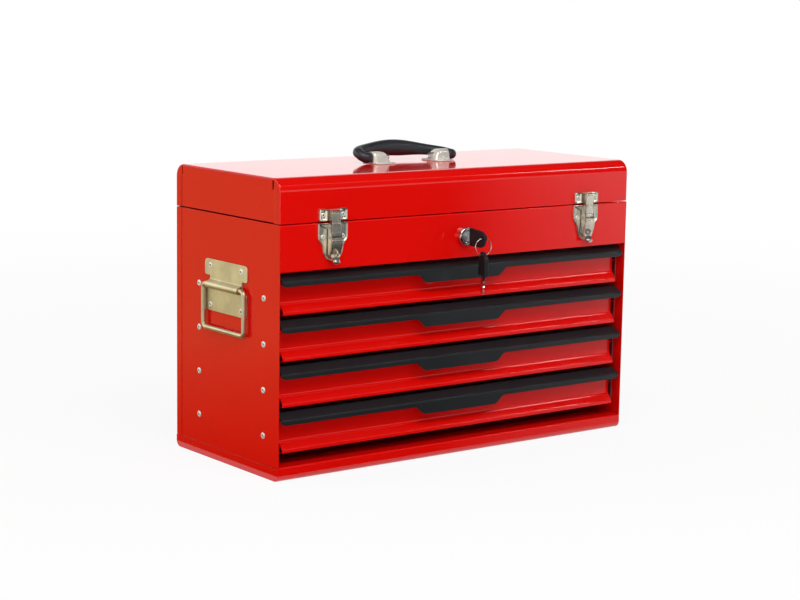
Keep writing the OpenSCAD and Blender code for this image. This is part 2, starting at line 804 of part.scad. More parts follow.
// half of the grip's centre line: out from the saddle, round a bend, and back to the middle as half a wave
bend_x = grip_half - loop_r - 7.5;
bend_r = 7.5;
function bend_point(a) = [bend_x + bend_r * sin(a), bend_r * (1 - cos(a))];
bend_turn = 115;
sweep_start = bend_point(bend_turn);
function arm_point(t) =
  [sweep_start[0] * (1 - t), sweep_start[1] + (grip_reach - sweep_start[1]) * sin(90 * pow(t, 0.7))];
function half_line(i) =
  i == 0 ? [grip_end, 0] : i <= 7 ? bend_point(bend_turn * (i - 1) / 6) : arm_point((i - 7) / (grip_steps / 2 + 5 - 7));
half_count = grip_steps / 2 + 5;
grip_line = concat([for (i = [0 : half_count]) half_line(i)],
                   [for (i = [half_count - 1 : -1 : 0]) [-half_line(i)[0], half_line(i)[1]]]);
// share of the middle's thickness at a distance from the handle's middle
function swell(x) = pow(cos(90 * min(1, abs(x) / swell_half)), 2);
function grip_ring(i) =
  let (last = len(grip_line) - 1,
       p = grip_line[i],
       d = unit(grip_line[min(i + 1, last)] - grip_line[max(i - 1, 0)]),
       s = swell(p[0]),
       wide = loop_r + (grip_wide / 2 - loop_r) * s,
       thick = loop_r + (grip_thick / 2 - loop_r) * s)
  [for (k = [0 : grip_sides - 1])
    let (a = 360 * k / grip_sides, out = wide * cos(a), up = thick * sin(a))
    [p[0] - d[1] * out, p[1] + d[0] * out, up]];

module lean_back() {
  translate([0, 0, axis_z]) rotate([lean, 0, 0]) children();
}

module handle_grip() {
  rings = len(grip_line);
  side_faces = [for (i = [0 : rings - 2], k = [0 : grip_sides - 1])
    let (a = i * grip_sides + k, b = i * grip_sides + (k + 1) % grip_sides)
    [a, a + grip_sides, b + grip_sides, b]];
  caps = [[for (k = [0 : grip_sides - 1]) k], [for (k = [grip_sides - 1 : -1 : 0]) (rings - 1) * grip_sides + k]];
  color(black) difference() {
    lean_back() polyhedron(points = [for (i = [0 : rings - 1]) each grip_ring(i)], faces = concat(side_faces, caps));
    both_sides() x_rod(handle_pin_d / 2 + rivet_play, grip_end - 1, grip_end + 8, 0, axis_z);
  }
}

module handle_pins() {
  color(zinc) both_sides() x_rod(handle_pin_d / 2, saddle_x - saddle_w / 2, grip_end + 7.5, 0, axis_z);
}

// Lock and keys

module lock_plug() {
  slot = blade_h / 2 + blade_play;
  color(zinc) difference() {
    y_rod(plug_d / 2, front_y - bezel_out - 1, lock_back + 0.5, 0, lock_z);
    box([-blade_t / 2 - blade_play, front_y - bezel_out - 2, lock_z - slot],
        [blade_t / 2 + blade_play, key_y + blade_l + 1, lock_z + slot]);
  }
}

module lock_cam() {
  color(zinc) y_bar(lock_back + 0.5, lock_back + 0.5 + cam_t) translate([0, lock_z]) {
    circle(cam_w / 2 + 1);
    translate([-cam_w / 2, 0]) square([cam_w, cam_l]);
  }
}

module key_blade() {
  color(zinc) box([-blade_t / 2, key_y, lock_z - blade_h / 2], [blade_t / 2, key_y + blade_l, lock_z + blade_h / 2]);
}

// outline of a key's head in (y, z), its end away from the blade at the left
module head_outline() {
  translate([-head_l, -head_h / 2])
    polygon([[0, head_h * 0.67], [head_l * 0.33, head_h * 0.91], [head_l - 0.5, head_h], [head_l, head_h - 0.5],
             [head_l, 0.5], [head_l - 0.5, 0], [head_l * 0.18, 0]]);
}

module key_head() {
  color(black) difference() {
    translate([0, key_y, lock_z]) x_bar(-head_t / 2, head_t / 2) head_outline();
    x_rod(head_hole_r, -head_t, head_t, hole_y, hole_z);
  }
}

module hang() {
  translate([0, hole_y, hole_z - ring_drop]) rotate([0, 0, ring_turn]) children();
}

module key_ring() {
  color(zinc) hang() translate([0, 0, -ring_r]) rotate([90, 0, 0])
    rotate_extrude() translate([ring_r, 0]) circle(ring_wire / 2);
}

// second key, hanging by its head from the ring
module spare_key() {
  color(black) hang() translate([0, 0, -ring_d - ring_drop]) difference() {
    rotate([-90, 0, 0]) translate([0, key_y - hole_y, lock_z - hole_z]) {
      x_bar(-head_t / 2, head_t / 2) head_outline();
      box([-blade_t / 2, -hair, -blade_h / 2], [blade_t / 2, blade_l, blade_h / 2]);
    }
    x_rod(head_hole_r, -head_t, head_t, 0, 0);
  }
}

// Drawers

// open tray with the moving rails on its side walls
module drawer_tray(n) {
  mid = foot_z(n) + slide_z;
  z = mid - slide_h / 2 + 1;
  x = slide_x;
  rail_half = slide_h / 2 - rail_t - ball_d - 2 * ball_play;
  color(red) {
    difference() {
      box([-x, panel_back_y, z], [x, slide_y1, z + tray_h]);
      box([-x + tray_sheet, panel_back_y + tray_sheet, z + tray_sheet],
          [x - tray_sheet, slide_y1 - tray_sheet, z + tray_h + 1]);
    }
    both_sides() {
      box([x - hair, slide_y0, mid - rail_half], [x + rail_t, slide_y1, mid + rail_half]);
      for (s = [-1, 1])
        box([x, slide_y0, mid + s * (rail_half - rail_t / 2) - rail_t / 2],
            [inner - rail_t - 1.5, slide_y1, mid + s * (rail_half - rail_t / 2) + rail_t / 2]);
    }
  }
}

// strips that hold the balls between the fixed and the moving rails
module drawer_cages(n) {
  mid = foot_z(n) + slide_z;
  row = slide_h / 2 - rail_t - ball_play - ball_d / 2;
  strip = 0.7;
  cage_l = slide_l - travel - 2;
  y0 = slide_y0 + travel / 2 + 1;
  x0 = slide_x + rail_t + 1;
  x1 = inner - rail_t - 0.3;
  ball_x = (x0 + x1) / 2;
  color(zinc) both_sides() {
    box([x1 - strip, y0, mid - row], [x1, y0 + cage_l, mid + row]);
    for (s = [-1, 1]) {
      box([x0, y0, mid + s * row - strip / 2], [x1, y0 + cage_l, mid + s * row + strip / 2]);
      for (i = [0 : balls - 1])
        translate([ball_x, y0 + cage_l * (i + 0.5) / balls, mid + s * row]) sphere(d = ball_d);
    }
  }
}

module drawer_front(n) {
  z = foot_z(n);
  lip_y = flat_y - front_flare;
  steps = 6;
  // the flare is a quarter wave from the flat to the rolled lip
  flare = [for (i = [0 : steps])
    let (t = i / steps)
    [flat_y - front_flare * (1 - cos(90 * t)), z + flare_h - (flare_h - 3) * sin(90 * t)]];
  path = concat([[flat_y, z + pull_top - 2]], flare, [[lip_y, z + 1], [lip_y + 1, z], [lip_y + 5, z]]);
  color(red) x_bar(-inner + front_side_gap, inner - front_side_gap) folded(path, sheet);
}

// hollow pull: a flange on the drawer front, a sloping top and a face with a deeper flap in the middle
module drawer_pull(n) {
  z = foot_z(n);
  x = inner - pull_side_gap;
  flap = flap_w / 2;
  path = [[flat_y, z + pull_edge], [flat_y, z + pull_top], [front_y, z + pull_nose], [front_y + 0.4, z + flap_edge]];
  color(black) intersection() {
    x_bar(-x, x) folded(path, pull_wall);
    y_bar(front_y - 1, flat_y + 1) polygon([
      [-x, z + pull_top + 1], [-x, z + pull_nose], [-x + 6, z + pull_edge], [-flap - flap_slope, z + pull_edge],
      [-flap, z + flap_edge], [flap, z + flap_edge], [flap + flap_slope, z + pull_edge],
      [x - 6, z + pull_edge], [x, z + pull_nose], [x, z + pull_top + 1]]);
  }
}

base_pan();
side_panel(-1);  // side_panel_left
side_panel(1);  // side_panel_right
back_panel();
front_rail();
till_floor();
slide_rails(-1);  // slide_rails_left
slide_rails(1);  // slide_rails_right
slide_rivets();
hinge_leaf(0, false);  // hinge_leaf_case
hinge_pin();
lock_housing();
lock_nut();
latch_base(-1);  // latch_base_left
latch_base(1);  // latch_base_right
latch_rivets();
latch_pins();
side_handle_plate(-1);  // side_handle_plate_left
side_handle_plate(1);  // side_handle_plate_right
side_handle_rivets();
lid_wrap();
lid_end(-1);  // lid_end_left
lid_end(1);  // lid_end_right
lid_striker();
hinge_leaf(1, true);  // hinge_leaf_lid
handle_brackets();
lid_rivets();
latch_keepers();
handle_grip();
handle_pins();
bail(-1);  // bail_left
bail(1);  // bail_right
latch_lever(-1);  // latch_lever_left
latch_lever(1);  // latch_lever_right
latch_claw(-1);  // latch_claw_left
latch_claw(1);  // latch_claw_right
lock_plug();
lock_cam();
key_blade();
key_head();
key_ring();
spare_key();
drawer_tray(1);  // drawer_1_tray
drawer_front(1);  // drawer_1_front
drawer_pull(1);  // drawer_1_pull
drawer_cages(1);  // drawer_1_cages
drawer_tray(2);  // drawer_2_tray
drawer_front(2);  // drawer_2_front
drawer_pull(2);  // drawer_2_pull
drawer_cages(2);  // drawer_2_cages
drawer_tray(3);  // drawer_3_tray
drawer_front(3);  // drawer_3_front
drawer_pull(3);  // drawer_3_pull
drawer_cages(3);  // drawer_3_cages
drawer_tray(4);  // drawer_4_tray
drawer_front(4);  // drawer_4_front
drawer_pull(4);  // drawer_4_pull
drawer_cages(4);  // drawer_4_cages
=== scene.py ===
"""Surfaces, finishes and stage of a portable steel tool box with a lid, four drawers and folding handles."""
import math

import bpy
import numpy as np
from mathutils import Matrix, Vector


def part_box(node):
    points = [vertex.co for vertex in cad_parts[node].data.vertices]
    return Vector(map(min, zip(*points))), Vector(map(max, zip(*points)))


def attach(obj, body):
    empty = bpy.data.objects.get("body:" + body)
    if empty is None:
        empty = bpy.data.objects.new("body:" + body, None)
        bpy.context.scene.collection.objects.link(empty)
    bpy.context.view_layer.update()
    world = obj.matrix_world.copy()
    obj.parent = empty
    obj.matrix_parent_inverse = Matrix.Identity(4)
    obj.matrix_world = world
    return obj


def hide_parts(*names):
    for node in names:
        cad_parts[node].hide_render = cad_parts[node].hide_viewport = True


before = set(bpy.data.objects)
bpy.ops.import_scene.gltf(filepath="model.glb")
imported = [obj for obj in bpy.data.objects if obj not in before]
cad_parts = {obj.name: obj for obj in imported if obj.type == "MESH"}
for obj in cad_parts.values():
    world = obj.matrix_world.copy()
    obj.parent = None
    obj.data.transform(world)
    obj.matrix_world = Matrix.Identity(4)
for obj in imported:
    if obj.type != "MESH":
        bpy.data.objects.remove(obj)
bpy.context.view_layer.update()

bl_info = {
    "name": "Portable Tool Box",
    "version": (1, 0, 0),
    "blender": (4, 5, 0),
    "location": "View3D > Sidebar > Tool Box",
    "description": "Builds the sheet panels, drawers, latches, lock and handles of a portable tool box",
    "category": "Object",
}

join = np.concatenate
MM = 0.001
SIDES = {"left": -1, "right": 1}
DRAWERS = (1, 2, 3, 4)


def span(node):
    """Lowest and highest corner of a CAD node, in millimetres."""
    return np.array(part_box(node)) / MM


def centre_of(node, axis):
    """Middle of a CAD node along an axis, in millimetres."""
    return float(span(node)[:, axis].mean())


HALF = span("side_panel_right")[1][0]
FRONT = span("front_rail")[0][1]
BACK = span("back_panel")[1][1]
RAIL_LOW, BODY_TOP = span("front_rail")[0][2], span("front_rail")[1][2]
LID_LOW, LID_TOP = span("lid_wrap")[0][2], span("lid_wrap")[1][2]
LOCK_Z = centre_of("lock_housing", 2)
LATCH_X = centre_of("latch_base_right", 0)
LATCH_Z = span("latch_base_right")[1][2]
EYE_Z = LATCH_Z - 33.5
PIN_Y, PIN_Z = centre_of("latch_pins", 1), centre_of("latch_pins", 2)
AXIS_Z = centre_of("handle_pins", 2)
SADDLE_HALF, SADDLE_THICK = 13.0, 1.6
SADDLE_X = span("handle_brackets")[1][0] - SADDLE_HALF
RIVET_HEAD = 3.2
PLATE_THICK = 1.5
BUTT = 0.05  # rounding of an end that stands against another sheet


# ---- sizes and colours

def length(label, text, millimetres):
    """A length property, shown in the scene's units and held in metres."""
    return bpy.props.FloatProperty(name=label, description=text, default=millimetres * MM,
                                   unit="LENGTH", precision=5)


def colour(label, text, red, green, blue):
    """A linear colour property."""
    return bpy.props.FloatVectorProperty(name=label, description=text, default=(red, green, blue),
                                         subtype="COLOR", size=3, min=0, max=1)


def share(label, text, value, most=1.0):
    """A plain number property."""
    return bpy.props.FloatProperty(name=label, description=text, default=value, min=0, max=most)


class ToolBoxSizes(bpy.types.PropertyGroup):
    """Sizes of the pressed and folded forms"""
    sheet: length("Sheet", "Thickness of the sheet steel", 1.0)
    lid_fold: length("Lid fold", "Outer radius of the lid's front and back folds", 15.0)
    pan_fold: length("Pan fold", "Outer radius of the base pan's lower corners", 8.0)
    flange: length("Flange", "Width of the flanges that wrap round the corners", 12.0)
    corner: length("Corner", "Outer radius of the tight folds", 1.6)
    edge: length("Edge", "Rounding of the cut edges", 0.35)
    seam: length("Seam", "Gap between a side and the flange at the back", 1.2)
    flare: length("Flare", "How far the lip of a drawer stands out from its front", 7.0)
    nose: length("Pull nose", "Radius of the nose of a drawer pull", 3.2)
    flap: length("Pull flap", "Half the width of the flap in the middle of a pull", 53.0)
    flap_slope: length("Flap slope", "Width of each sloping end of the flap", 15.0)
    rim: length("Latch rim", "Height of the rim round the latch plates", 2.4)
    wire: length("Ring wire", "Thickness of the split ring's wire", 0.95)


class ToolBoxColours(bpy.types.PropertyGroup):
    """Colours of the finishes"""
    enamel: colour("Enamel", "Colour of the baked enamel", 0.70, 0.003, 0.0015)
    plastic: colour("Pull plastic", "Colour of the drawer pulls", 0.012, 0.014, 0.016)
    rubber: colour("Grip", "Colour of the carry handle's grip", 0.022, 0.025, 0.030)
    zinc: colour("Zinc", "Colour of the zinc plated steel", 0.62, 0.63, 0.64)
    chrome: colour("Chrome", "Colour of the chrome plated parts", 0.82, 0.82, 0.81)
    satin: colour("Satin zinc", "Colour of the satin plated rivets and saddles", 0.90, 0.88, 0.81)
    # The stem colour is far darker than steel. It is painted shade for the shadow deep in the rivet bores, laid on
    # the real broken stems.
    stem: colour("Stem steel", "Colour of the broken stems inside the blind rivets", 0.09, 0.08, 0.07)
    nickel: colour("Nickel", "Colour of the nickel plated latches", 0.74, 0.71, 0.64)
    passivate: colour("Yellow zinc", "Colour of the yellow zinc plated side handles", 0.78, 0.70, 0.46)


class ToolBoxStage(bpy.types.PropertyGroup):
    """Floor, lights and camera"""
    sky: share("Sky", "Strength of the even light from all round", 0.50, 5.0)
    key: share("Key light", "Power of the long soft light above the front, in watts", 35.0, 500.0)
    fill: share("Fill light", "Power of the soft light from the left, in watts", 12.5, 500.0)
    strip: share("Strip", "Brightness of the narrow strip that draws thin lines on the folds", 34.0, 500.0)
    floor_tone: share("Floor tone", "Paleness of the floor", 0.86)


def mm(name):
    """One of the sizes, in millimetres."""
    return getattr(bpy.context.scene.tool_box_sizes, name) / MM


# ---- shapes

def unit(v):
    """Vectors divided by their lengths."""
    return v / np.maximum(np.linalg.norm(v, axis=-1, keepdims=True), 1e-12)


def left_of(v):
    """Plane vectors turned a quarter to the left."""
    return np.stack([-v[..., 1], v[..., 0]], -1)


def bent(points, radii, closed=True, steps=6):
    """A path whose corners are arcs.

    Each arc begins and ends radius / tan(half the corner's angle) away from the corner. Its points are the two
    spokes from its centre, blended by the sines of the angle turned so far.
    """
    p = np.asarray(points, float)
    r = np.broadcast_to(np.asarray(radii, float), len(p))
    with np.errstate(all="ignore"):
        before, after = unit(np.roll(p, 1, 0) - p), unit(np.roll(p, -1, 0) - p)
        half = np.arccos(np.clip((before * after).sum(1), -1, 1)) / 2
        reach = (r / np.tan(half))[:, None]
        centre = p + unit(before + after) * (r / np.sin(half))[:, None]
        first, last = p + before * reach - centre, p + after * reach - centre
        turn = (np.pi - 2 * half)[:, None, None]
        t = np.linspace(0, 1, steps)[None, :, None]
        arc = (np.sin((1 - t) * turn) * first[:, None] + np.sin(t * turn) * last[:, None]) / np.sin(turn)
    arcs = centre[:, None] + arc
    if closed:
        return arcs.reshape(-1, 2)
    return join([p[:1], arcs[1:-1].reshape(-1, 2), p[-1:]])


def inward(outline):
    """Mitred normals of a closed outline that point to its inside: the sum of both edges' normals,
    lengthened so that a move along it shifts each edge by one."""
    ahead = left_of(unit(np.roll(outline, -1, 0) - outline))
    behind = np.roll(ahead, 1, 0)
    middle = unit(ahead + behind)
    middle = middle / np.maximum((middle * ahead).sum(1, keepdims=True), 0.5)
    nxt = np.roll(outline, -1, 0)
    turned = (outline[:, 0] * nxt[:, 1] - outline[:, 1] * nxt[:, 0]).sum()
    return middle * (1 if turned > 0 else -1)


def thickened(path, thickness):
    """Edge view of a sheet: the path, and back along the path moved by the thickness to its left."""
    ahead = unit(np.diff(path, axis=0))
    along = unit(join([ahead[:1], ahead[:-1] + ahead[1:], ahead[-1:]]))
    return join([path, (path + thickness * left_of(along))[::-1]])


def folded(points, radii, thickness, steps=6):
    """Edge view of a folded sheet."""
    return thickened(bent(points, radii, False, steps), thickness)


def rectangle(low, high):
    """Four corners in a plane, from the lowest and the highest."""
    (a, b), (c, d) = low, high
    return [(a, b), (c, b), (c, d), (a, d)]


def box_outline(low, high, radius):
    """Rectangle between two corners of a plane, with round corners."""
    return bent(rectangle(low, high), radius, steps=4)


def eased(outline):
    """A closed outline with its corners cut away twice, each time at a quarter of the edges that meet there."""
    for _ in range(2):
        ahead = np.roll(outline, -1, 0)
        outline = np.stack([0.75 * outline + 0.25 * ahead, 0.25 * outline + 0.75 * ahead], 1).reshape(-1, 2)
    return outline


def spaced(outline, count):
    """A closed outline with so many points, at even distances along it."""
    loop = join([outline, outline[:1]])
    run = join([[0], np.cumsum(np.linalg.norm(np.diff(loop, axis=0), axis=1))])
    at = np.linspace(0, run[-1], count, endpoint=False)
    return np.stack([np.interp(at, run, loop[:, 0]), np.interp(at, run, loop[:, 1])], 1)


def round_at(angles):
    """Points of a circle of radius one, at these angles."""
    return np.stack([np.cos(angles), np.sin(angles)], 1)


def circle(sides):
    """So many points round a circle of radius one."""
    return round_at(np.arange(sides) * 2 * np.pi / sides)


def points_at(x, y, z):
    """Points in space, from coordinates that are spread out to one common shape."""
    return np.stack(np.broadcast_arrays(x, y, z), -1).astype(float)


def raised(flat, axis, height):
    """Points of a plane, put at a height along the axis that stands on it."""
    coordinates = [flat[..., 0], flat[..., 1]]
    coordinates.insert(axis, height)
    return points_at(*coordinates)


def stacked(outline, axis, levels):
    """Rings of an outline along an axis: each level gives how far it is drawn in, and its height."""
    inset, height = np.asarray(levels, float).T[..., None]
    return raised(outline + inset[..., None] * inward(outline), axis, height)


def bar(outline, axis, low, high, edge=0.3, steps=3):
    """Outline carried along an axis, its end edges rounded over: drawn in by edge * (1 - sin a)
    at edge * (1 - cos a) from each end."""
    a = np.linspace(0, np.pi / 2, steps)
    inset, rise = edge * (1 - np.sin(a)), edge * (1 - np.cos(a))
    levels = join([np.stack([inset, low + rise], 1), np.stack([inset, high - rise], 1)[::-1]])
    return stacked(outline, axis, levels)


def holed(outline, axis, low, high, centre, radius, edge=0.3, steps=3):
    """A bar with a round hole: rings go over the outside, and back through points on the same rays of the hole."""
    centre = np.asarray(centre, float)
    hole = raised(centre + radius * unit(outline - centre), axis, np.array([[high], [low]]))
    return join([bar(outline, axis, low, high, edge, steps), hole])


def turned(profile, centre, axis, sides=32):
    """Pairs of radius and height, turned round an axis through the centre."""
    radius, height = np.asarray(profile, float).T[..., None]
    return raised(np.delete(centre, axis) + radius[..., None] * circle(sides), axis, centre[axis] + height)


def tube(path, radii, across, sides, closed=False):
    """Wire along a path: at each point an oval ring, whose two axes are the fixed direction across the path's
    plane and its cross product with the path's direction. Each radius is one number, or one for each point."""
    ahead = unit(np.roll(path, -1, 0) - np.roll(path, 1, 0) if closed else np.gradient(path, axis=0))
    side = unit(np.cross(ahead, across))
    up = unit(np.cross(side, ahead))
    wide, thick = (np.broadcast_to(radius, len(path))[:, None, None] for radius in radii)
    ring = circle(sides)
    return path[:, None] + wide * ring[:, :1] * side[:, None] + thick * ring[:, 1:] * up[:, None]


def walls(piece, starts, thick, edge, *outlines):
    """Upright walls of a channel: each outline in (y, z), at each start along x."""
    for start in starts:
        for outline in outlines:
            piece.skin(bar(outline, 0, start, start + thick, edge))


def placed(name, data):
    """A new object in the scene, for a mesh, a lamp or a camera."""
    made = bpy.data.objects.new(name, data)
    bpy.context.scene.collection.objects.link(made)
    return made


class Piece:
    """Skins of one piece, gathered in millimetres and made one mesh in metres."""

    def __init__(self):
        self.points, self.faces, self.total = [], [], 0

    def skin(self, rings, ends="caps", wrap=True):
        """Faces between neighbouring rings. The ends are flat faces (caps), left open, or the last ring joins
        the first (loop). The sum of the pyramids under the faces tells whether they point outwards."""
        count, around = rings.shape[:2]
        i = np.arange(count if ends == "loop" else count - 1)[:, None]
        j = np.arange(around if wrap else around - 1)[None]
        k, m = (i + 1) % count, (j + 1) % around
        quads = np.stack([i * around + j, i * around + m, k * around + m, k * around + j], -1).reshape(-1, 4)
        points = rings.reshape(-1, 3)
        corner = points[quads] - points.mean(0)
        pyramids = (corner[:, 0] * np.cross(corner[:, 1], corner[:, 2])
                    + corner[:, 0] * np.cross(corner[:, 2], corner[:, 3])).sum()
        faces = quads.tolist()
        if ends == "caps":
            for ring, turn in ((0, -1), (count - 1, 1)):
                loop = (ring * around + np.arange(around))[::turn]
                fan = points[loop] - points.mean(0)
                pyramids += (fan[0] * np.cross(fan[1:-1], fan[2:])).sum()
                faces.append(loop.tolist())
        flip = -1 if pyramids < 0 else 1
        self.faces += [[v + self.total for v in face[::flip]] for face in faces]
        self.points.append(points)
        self.total += len(points)
        return self

    def both(self, rings):
        """A skin and its mirror image on the other side of the box."""
        return self.skin(rings).skin(rings * (-1, 1, 1))

    def make(self, name, body, finish, *nodes, sharp=40, wall=0.0, weighted=True):
        """The mesh, its modifiers and finish, the body that it rides on and the CAD nodes that it stands for."""
        mesh = bpy.data.meshes.new(name)
        mesh.from_pydata((join(self.points) * MM).tolist(), [], self.faces)
        mesh.validate()
        mesh.polygons.foreach_set("use_smooth", np.ones(len(mesh.polygons), bool))
        mesh.set_sharp_from_angle(angle=math.radians(sharp))
        mesh.materials.append(bpy.data.materials[finish])
        piece = placed(name, mesh)
        if wall:
            solid = piece.modifiers.new("Wall", "SOLIDIFY")
            solid.thickness, solid.offset, solid.use_even_offset = wall * MM, -1, True
        if weighted:
            piece.modifiers.new("Even shading", "WEIGHTED_NORMAL").keep_sharp = True
        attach(piece, body)
        if nodes:
            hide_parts(*nodes)


# ---- finishes


class Value:
    """One output socket of a shader node. Sums, products and greater ones of two values add Math nodes."""

    def __init__(self, mix, socket):
        self.mix, self.socket = mix, socket

    def maths(self, operation, other):
        return self.mix.node("Math", {"operation": operation}, {0: self, 1: other})

    def __add__(self, other):
        return self.maths("ADD", other)

    def __mul__(self, other):
        return self.maths("MULTIPLY", other)

    def __or__(self, other):
        return self.maths("MAXIMUM", other)


class Mix:
    """The shader nodes of a material or of the sky."""

    def __init__(self, tree):
        self.tree = tree

    def node(self, kind, settings, sockets, out=0):
        """Adds a node: its settings first, then a number, colour or value for each named or numbered socket."""
        made = self.tree.nodes.new("ShaderNode" + kind)
        for key, setting in settings.items():
            if key == "stops":
                ramp = made.color_ramp.elements
                for element, (position, tone) in zip([ramp[0], ramp[1]], setting):
                    element.position, element.color = position, (tone, tone, tone, 1)
            else:
                setattr(made, key, setting)
        self.feed(made, sockets)
        return Value(self, made.outputs[out])

    def feed(self, node, sockets):
        """Links a value to a socket, or sets the socket itself."""
        for key, item in sockets.items():
            if isinstance(item, Value):
                self.tree.links.new(item.socket, node.inputs[key])
            else:
                node.inputs[key].default_value = item

    def ray(self, kind):
        """One where the light path is of a kind, such as Camera, and else nought."""
        return self.node("LightPath", {}, {}, f"Is {kind} Ray")

    def show(self, shader, output="Material Output"):
        """Makes this the shader that is rendered."""
        self.feed(self.tree.nodes[output], {"Surface": shader})


class Recipe(Mix):
    """A material, its shader, and the patterns that vary it."""

    def __init__(self, name):
        self.material = bpy.data.materials.new(name)
        self.material.use_nodes = True
        super().__init__(self.material.node_tree)
        self.shader = self.tree.nodes["Principled BSDF"]
        self.place = self.node("TexCoord", {}, {}, "Object")

    def noise(self, scale, detail=2.0, stretch=(1, 1, 1)):
        """Cloudy noise in object space, with so many features to the metre along each axis."""
        place = self.node("Mapping", {}, {"Vector": self.place, "Scale": stretch})
        return self.node("TexNoise", {}, {"Vector": place, "Scale": scale, "Detail": detail, "Roughness": 0.55})

    def ramp(self, value, low, high):
        """The value between two levels, spread out over 0 to 1."""
        return self.node("ValToRGB", {"stops": ((low, 0), (high, 1))}, {0: value})

    def tint(self, amount, first, second):
        """A colour between two, by an amount."""
        return self.node("Mix", {"data_type": "RGBA"}, {0: amount, 6: (*first, 1), 7: (*second, 1)}, 2)

    def bump(self, height, strength, depth):
        """Normals of a surface whose height varies by a depth in millimetres."""
        return self.node("Bump", {}, {"Height": height, "Strength": strength, "Distance": depth * MM})

    def surface(self, **sockets):
        """Fills the shader's sockets; an underscore stands for a space."""
        self.feed(self.shader, {key.replace("_", " "): item for key, item in sockets.items()})


def shade(tone, factor):
    """A colour made darker or lighter by a factor, or by one for each of its parts."""
    return np.minimum(np.array(tone) * factor, 1.0)


def enamel(tone):
    """Baked enamel: a clear gloss over saturated colour, with the faint waviness of sprayed paint."""
    mix = Recipe("Enamel")
    cloud, peel, specks = mix.noise(7, 3), mix.noise(420, 2), mix.noise(2600, 1)
    mix.surface(Base_Color=mix.tint(cloud, shade(tone, 0.95), shade(tone, 1.04)),
                Roughness=cloud * 0.03 + specks * 0.02 + 0.06, IOR=1.5,
                Normal=mix.bump(peel, 0.05, 0.02))


def plastic(name, tone, roughness, grain, depth, sheen=0.5):
    """Moulded plastic: dull black with a fine even grain, rubbed a little smoother in patches. The sheen is the
    strength of its reflections, a half being that of a plain clear surface."""
    mix = Recipe(name)
    cloud, pits = mix.noise(24, 3), mix.noise(grain, 2)
    mix.surface(Base_Color=mix.tint(cloud, shade(tone, 0.85), shade(tone, 1.2)),
                Roughness=cloud * 0.10 + roughness, IOR=1.5, Specular_IOR_Level=sheen,
                Normal=mix.bump(pits, 0.25, depth))


def plating(name, tone, roughness, warm, brushed=(1, 1, 1), streaks=260.0, metal=1.0):
    """Plated steel: metal whose colour drifts in soft clouds, with fine streaks in its gloss. A satin plating
    scatters part of its light, so its metal share is less than one."""
    mix = Recipe(name)
    cloud, drawn = mix.noise(38, 4), mix.noise(streaks, 3, brushed)
    patch = mix.ramp(cloud, 0.36, 0.66)
    mix.surface(Base_Color=mix.tint(patch, shade(tone, 0.86), shade(tone, warm)),
                Metallic=metal, Roughness=drawn * 0.14 + cloud * 0.06 + roughness,
                Normal=mix.bump(drawn, 0.12, 0.02))


CAD_FINISHES = {"Enamel": ["till_floor"] + [f"drawer_{n}_tray" for n in DRAWERS],
                "Zinc": ["slide_rails_left", "slide_rails_right", "lock_nut", "lock_cam", "lid_striker",
                         "hinge_leaf_case", "hinge_leaf_lid", "hinge_pin"] + [f"drawer_{n}_cages" for n in DRAWERS],
                "Nickel": ["latch_pins"], "Chrome": ["handle_pins"]}


class ToolBoxFinishes(bpy.types.Operator):
    """Mix the finishes, and give them to the parts that keep their plain shape"""
    bl_idname = "tool_box.finishes"
    bl_label = "Finishes"

    def execute(self, context):
        tones = context.scene.tool_box_colours
        enamel(tones.enamel)
        plastic("Pull_plastic", tones.plastic, 0.26, 900, 0.02, 0.38)
        plastic("Grip_rubber", tones.rubber, 0.34, 700, 0.05)
        plastic("Key_plastic", tones.plastic, 0.45, 1200, 0.02, 0.25)
        plating("Zinc", tones.zinc, 0.30, (1.05, 1.05, 1.08), (1, 8, 1))
        plating("Chrome", tones.chrome, 0.10, (1.0, 1.0, 1.0))
        plating("Satin_zinc", tones.satin, 0.26, (1.04, 1.02, 0.98), metal=0.5)
        # the stems' very dark steel is partly their own colour and partly painted shade for the rivet bores
        plating("Stem_steel", tones.stem, 0.5, (1.1, 1.05, 1.0), metal=0.8)
        plating("Nickel", tones.nickel, 0.14, (1.16, 1.10, 0.98), (6, 1, 1), 420, 0.93)
        plating("Yellow_zinc", tones.passivate, 0.36, (1.08, 1.10, 1.12), (1, 1, 5))
        for finish, nodes in CAD_FINISHES.items():
            for node in nodes:
                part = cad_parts[node]
                if not part.material_slots:
                    part.data.materials.append(None)
                for place in part.material_slots:
                    place.material = bpy.data.materials[finish]
        return {"FINISHED"}


# ---- case

def plate(axis, low, high, edge=0.3):
    """Rectangular sheet between two corners in space, its cut edges rounded."""
    flat = box_outline(np.delete(low, axis), np.delete(high, axis), 0.4)
    return bar(flat, axis, low[axis], high[axis], edge)


